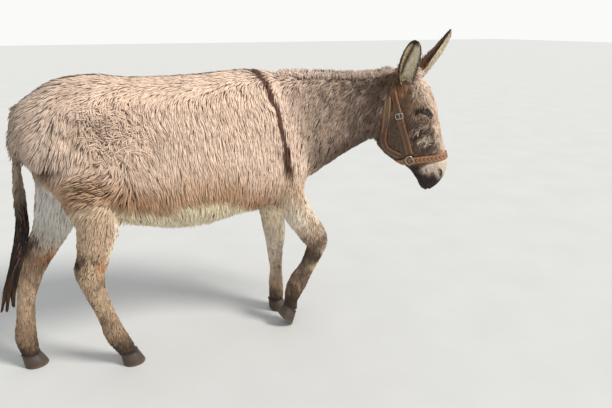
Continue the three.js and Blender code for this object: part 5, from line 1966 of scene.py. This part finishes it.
def leather_finish(name: str, face: Array, edge: Array, thread: Array, plait: float = 0.0) -> Material:
    """Worn strap leather: rubbed edges, a row of stitches inside each edge and a creased grain.
    All of it follows the strap's own map: across it from 0 to 1, along it in metres.

    Args:
        name: of the material.
        face: colour of the leather.
        edge: colour of its worn edges.
        thread: colour of the stitches.
        plait: length of one turn of a plaited strap, in metres, or 0.

    Returns:
        The material.
    """
    g = Graph.start(name)
    across, along, _ = g.add("SeparateXYZ", {0: g.map("Strap")}).outputs
    place = g.place()
    crease = g.noise(place, 260.0, 5.0)
    pores = g.add("TexVoronoi", {"Vector": place, "Scale": 900.0}).outputs["Distance"]
    out = g.math("ABSOLUTE", g.math("SUBTRACT", across, 0.5))
    worn = g.between(out, 0.39, 0.43)
    seam = g.math("COMPARE", out, 0.32, 0.014)
    stitch = g.math("MULTIPLY", seam, g.math("LESS_THAN", g.math("MODULO", along, 0.0052), 0.0034))
    colour = g.mixed(g.between(crease, 0.35, 0.65), face * 0.7, face * 1.25)
    if plait:
        turns = g.math("MULTIPLY", along, 1.0 / plait)
        crease = g.between(g.math("PINGPONG", g.math("MULTIPLY_ADD", out, 1.3, turns), 0.5), 0.05, 0.3)
        # painted shade in the grooves between the plaited strands
        colour = g.mixed(crease, face * 0.3, colour)
    colour = g.mixed(stitch, g.mixed(worn, colour, edge), thread)
    height = g.math("MULTIPLY_ADD", stitch, 0.8, g.math("ADD", pores, crease))
    return g.finish(colour, height, 0.0007, 0.6, Roughness=g.between(crease, 0.3, 0.7, 0.42, 0.62))


def steel_finish() -> Material:
    """Nickelled steel dulled by handling: its roughness and colour wander with a noise, and it
    is finely scratched."""
    g = Graph.start("dull_steel")
    place = g.place()
    smudge = g.noise(place, 190.0, 4.0)
    scratch = g.noise(g.scaled(place, 3.0, 1.0, 0.3), 1500.0, 2.0)
    colour = g.mixed(g.between(smudge, 0.35, 0.7), linear(192, 184, 168), linear(136, 124, 106))
    return g.finish(colour, scratch, 0.0002, 0.35, Metallic=1.0,
                    Roughness=g.between(smudge, 0.3, 0.7, 0.22, 0.42))


# ---- studio

LENS = 30.59
CAMERA_PLACE = (-0.582, -1.961, 1.33)
CAMERA_TURN = (math.radians(71.0), 0.0, -math.radians(24.8))  # 19 degrees down, 24.8 to the right
SUN = Vector((0.54, -0.56, 0.63))
SUN_STRENGTH = 3.1
SKY_STRENGTH = 0.66
FLOOR_REACH = 40.0


def build_sky() -> None:
    """A plain sky: even light, seen as white by the camera and in reflections."""
    g = Graph(bpy.data.worlds.new("sky"))
    path = g.add("LightPath").outputs
    seen = g.math("MAXIMUM", path["Is Camera Ray"], path["Is Glossy Ray"])
    seen = g.math("MAXIMUM", seen, path["Is Transmission Ray"])
    light = g.add("Background", {"Color": np.array([0.95, 0.98, 1.0]), "Strength": SKY_STRENGTH})
    white = g.add("Background", {"Color": np.array([0.96, 0.96, 0.95]), "Strength": 1.0})
    mix = g.add("MixShader", {0: seen, 1: light.outputs[0], 2: white.outputs[0]})
    g.add("OutputWorld", {"Surface": mix.outputs[0]})
    bpy.context.scene.world = g.owner


def build_floor() -> None:
    """A wide, flat, pale floor."""
    corners = FLOOR_REACH * np.array([(-1, -1, 0), (1, -1, 0), (1, 1, 0), (-1, 1, 0)])
    piece = make_piece("floor", Shape(corners, np.array([(0, 1, 2), (0, 2, 3)])), False)
    g = Graph.start("studio_floor")
    patches = g.between(g.noise(g.place(), 3.0), 0.3, 0.7)
    colour = g.mixed(patches, np.array([0.60, 0.60, 0.59]), np.array([0.63, 0.63, 0.62]))
    piece.data.materials.append(g.finish(colour, Roughness=0.9))


def build_studio() -> None:
    """Puts camera, sun, sky and floor in the scene."""
    scene = bpy.context.scene
    scene.view_settings.view_transform = "Standard"
    lens = bpy.data.cameras.new("camera")
    lens.lens, lens.sensor_width = LENS, 36.0
    camera = bpy.data.objects.new("camera", lens)
    camera.location, camera.rotation_euler = CAMERA_PLACE, CAMERA_TURN
    scene.collection.objects.link(camera)
    scene.camera = camera
    lamp = bpy.data.lights.new("sun", "SUN")
    lamp.energy, lamp.angle, lamp.color = SUN_STRENGTH, math.radians(16.0), (1.0, 0.97, 0.92)
    light = bpy.data.objects.new("sun", lamp)
    light.rotation_euler = SUN.to_track_quat("Z", "Y").to_euler()
    scene.collection.objects.link(light)
    build_sky()
    build_floor()


# ---- the donkey

MOST_LOCKS = 12400  # in one piece of the coat
BACK_LOCKS, INNER_LOCKS = 1300, 900  # on each ear


class Donkey:
    """Builds the pieces in order and ties each one to the frame."""

    def __init__(self) -> None:
        """Makes the finishes."""
        self.hair = hair_finish("winter_coat", 0.66, 1700.0, 0.15)
        self.long_hair = hair_finish("tail_hair", 0.5, 1400.0, 0.35)
        self.skin, self.horn, self.eye = skin_finish(), horn_finish(), eye_finish()
        self.leather = leather_finish("strap_leather", linear(84, 62, 44), linear(172, 100, 50),
                                      linear(206, 176, 130))
        self.plaited = leather_finish("plaited_leather", linear(150, 104, 72), linear(150, 88, 46),
                                      linear(214, 188, 150), 0.016)
        self.steel = steel_finish()
        self.triangles = 0

    def tie(self, piece: Piece, material: Material, slot: str, *nodes: str) -> None:
        """Gives a piece its material, its body and the CAD nodes it stands for."""
        piece.data.materials.append(material)
        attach(piece, "root")
        if nodes:
            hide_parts(*nodes)
        self.triangles += len(piece.data.polygons)
        LOG.info("%s: %d triangles", piece.name, len(piece.data.polygons))

    def body(self) -> Shape:
        """The skin with its ears; it stands for every node of flesh.

        Returns:
            The skin without ears, in the plan, for the coat to grow on.
        """
        skin = skin_shape()
        w = Where.find(skin.vertices, vertex_normals(skin))
        shade = (0.86 + 0.08 * w.of(Region.HEAD) + 0.06 * ramp(w.table(1), 9, 4))[:, None]
        colour, shapes = [markings(w) * shade], [skin]
        for ear in EARS:
            leaf = skinned(ear.point(*LEAF_GRID))
            marks = ear.marks(*(grid.ravel() for grid in LEAF_GRID), leaf.vertices[:-2])
            # painted shade: the ears' skin darker under their hair, like the body's shade above
            colour += [marks * 0.75, np.tile(Hue.dark, (2, 1)) * 0.75]
            shapes.append(HEAD.shape(leaf))
        piece = PLACE.piece("skin", joined(shapes))
        paint(piece, "coat", np.concatenate(colour))
        legs = [f"leg_{end}_{side}_{part}" for end in ("fore", "hind") for side in ("left", "right")
                for part in ("upper", "lower")]
        self.tie(piece, self.skin, "coat_fawn", "trunk", "neck", "head", "ear_right", "ear_left",
                 "tail_dock", *legs)
        return skin

    def coat(self, skin: Shape) -> None:
        """The locks over the body in pieces by region, none of them too heavy: none under the
        straps, short ones beside them, longer ones over the crownpiece."""
        locks, w = grown_coat(skin)
        x, y, z = locks.root.T
        near = from_straps(locks.root)
        over = ramp(HEAD.into(locks.root)[:, 0], 82, 58) * ramp(near, 2.2, 1.3) * (z > 900)
        locks.length = locks.length * (0.45 + 0.55 * np.maximum(ramp(near, 1.0, 2.4), 2.4 * over))
        locks.start = unit(locks.start + (1.4 * over)[:, None] * w.normals)
        named = [region for region in Region if region is not Region.TRUNK]
        zone = np.select([*(w.label == region.value for region in named), x < -250, x > 190],
                         [*(region.name.lower() for region in named), "rump", "shoulder"], "barrel")
        halved = np.isin(zone, ["neck", "rump", "shoulder", "barrel"])
        zone = np.where(halved, np.char.add(zone, np.where(y > 0.0, "_left", "_right")), zone)
        free = (near > 0.92) | (over > 0.4)
        for name in np.unique(zone[free]):
            chosen = np.flatnonzero((zone == name) & free)
            chosen = chosen[np.argsort(z[chosen])]
            slot = "coat_grey" if name.startswith(("neck", "head", "fore")) else "coat_fawn"
            for k, part in enumerate(np.array_split(chosen, -(-len(chosen) // MOST_LOCKS))):
                self.tie(locks.pick(part).piece(f"coat_{name}_{k + 1}"), self.hair, slot)

    def ears(self) -> None:
        """Short hair on the backs of the ears and long pale hair inside them."""
        for ear in EARS:
            self.tie(ear.locks(BACK_LOCKS, False).piece(ear.name + "_back_hair"), self.hair, "coat_dark")
            self.tie(ear.locks(INNER_LOCKS, True).piece(ear.name + "_inner_hair"), self.hair, "coat_dark")

    def extremities(self) -> None:
        """Mane, tail, eyes and hooves."""
        self.tie(crest_locks().piece("crest_hair"), self.hair, "coat_dark", "mane")
        self.tie(tail_piece("tail_hair"), self.long_hair, "tail_hair", "tail_switch")
        for word, side in SIDES:
            self.tie(eyeball("eyeball_" + word, side), self.eye, "eye", "eye_" + word)
        for hoof in HOOVES:
            node = "leg_" + hoof.name.removeprefix("hoof_") + "_hoof"
            self.tie(hoof.piece(), self.horn, "hoof_horn", node)

    def tack(self) -> None:
        """The headcollar's leather and metal."""
        for strap in STRAPS:
            node = "halter_" + strap.name.replace("_strap", "").replace("crownpiece", "crown")
            finish = self.plaited if strap.name == "noseband" else self.leather
            nodes = [] if strap.name.startswith("keeper") else [node]
            self.tie(strap.piece(), finish, "leather", *nodes)
        for loop in LOOPS:
            self.tie(loop.piece(), self.steel, "steel", "halter_" + loop.name)


def main() -> None:
    """Builds the donkey and the studio."""
    logging.basicConfig(level=logging.INFO, format="%(name)s %(message)s")
    donkey = Donkey()
    skin = donkey.body()
    donkey.coat(skin)
    donkey.ears()
    donkey.extremities()
    donkey.tack()
    build_studio()
    LOG.info("in all: %d triangles", donkey.triangles)


if __name__ == "__main__":
    main()
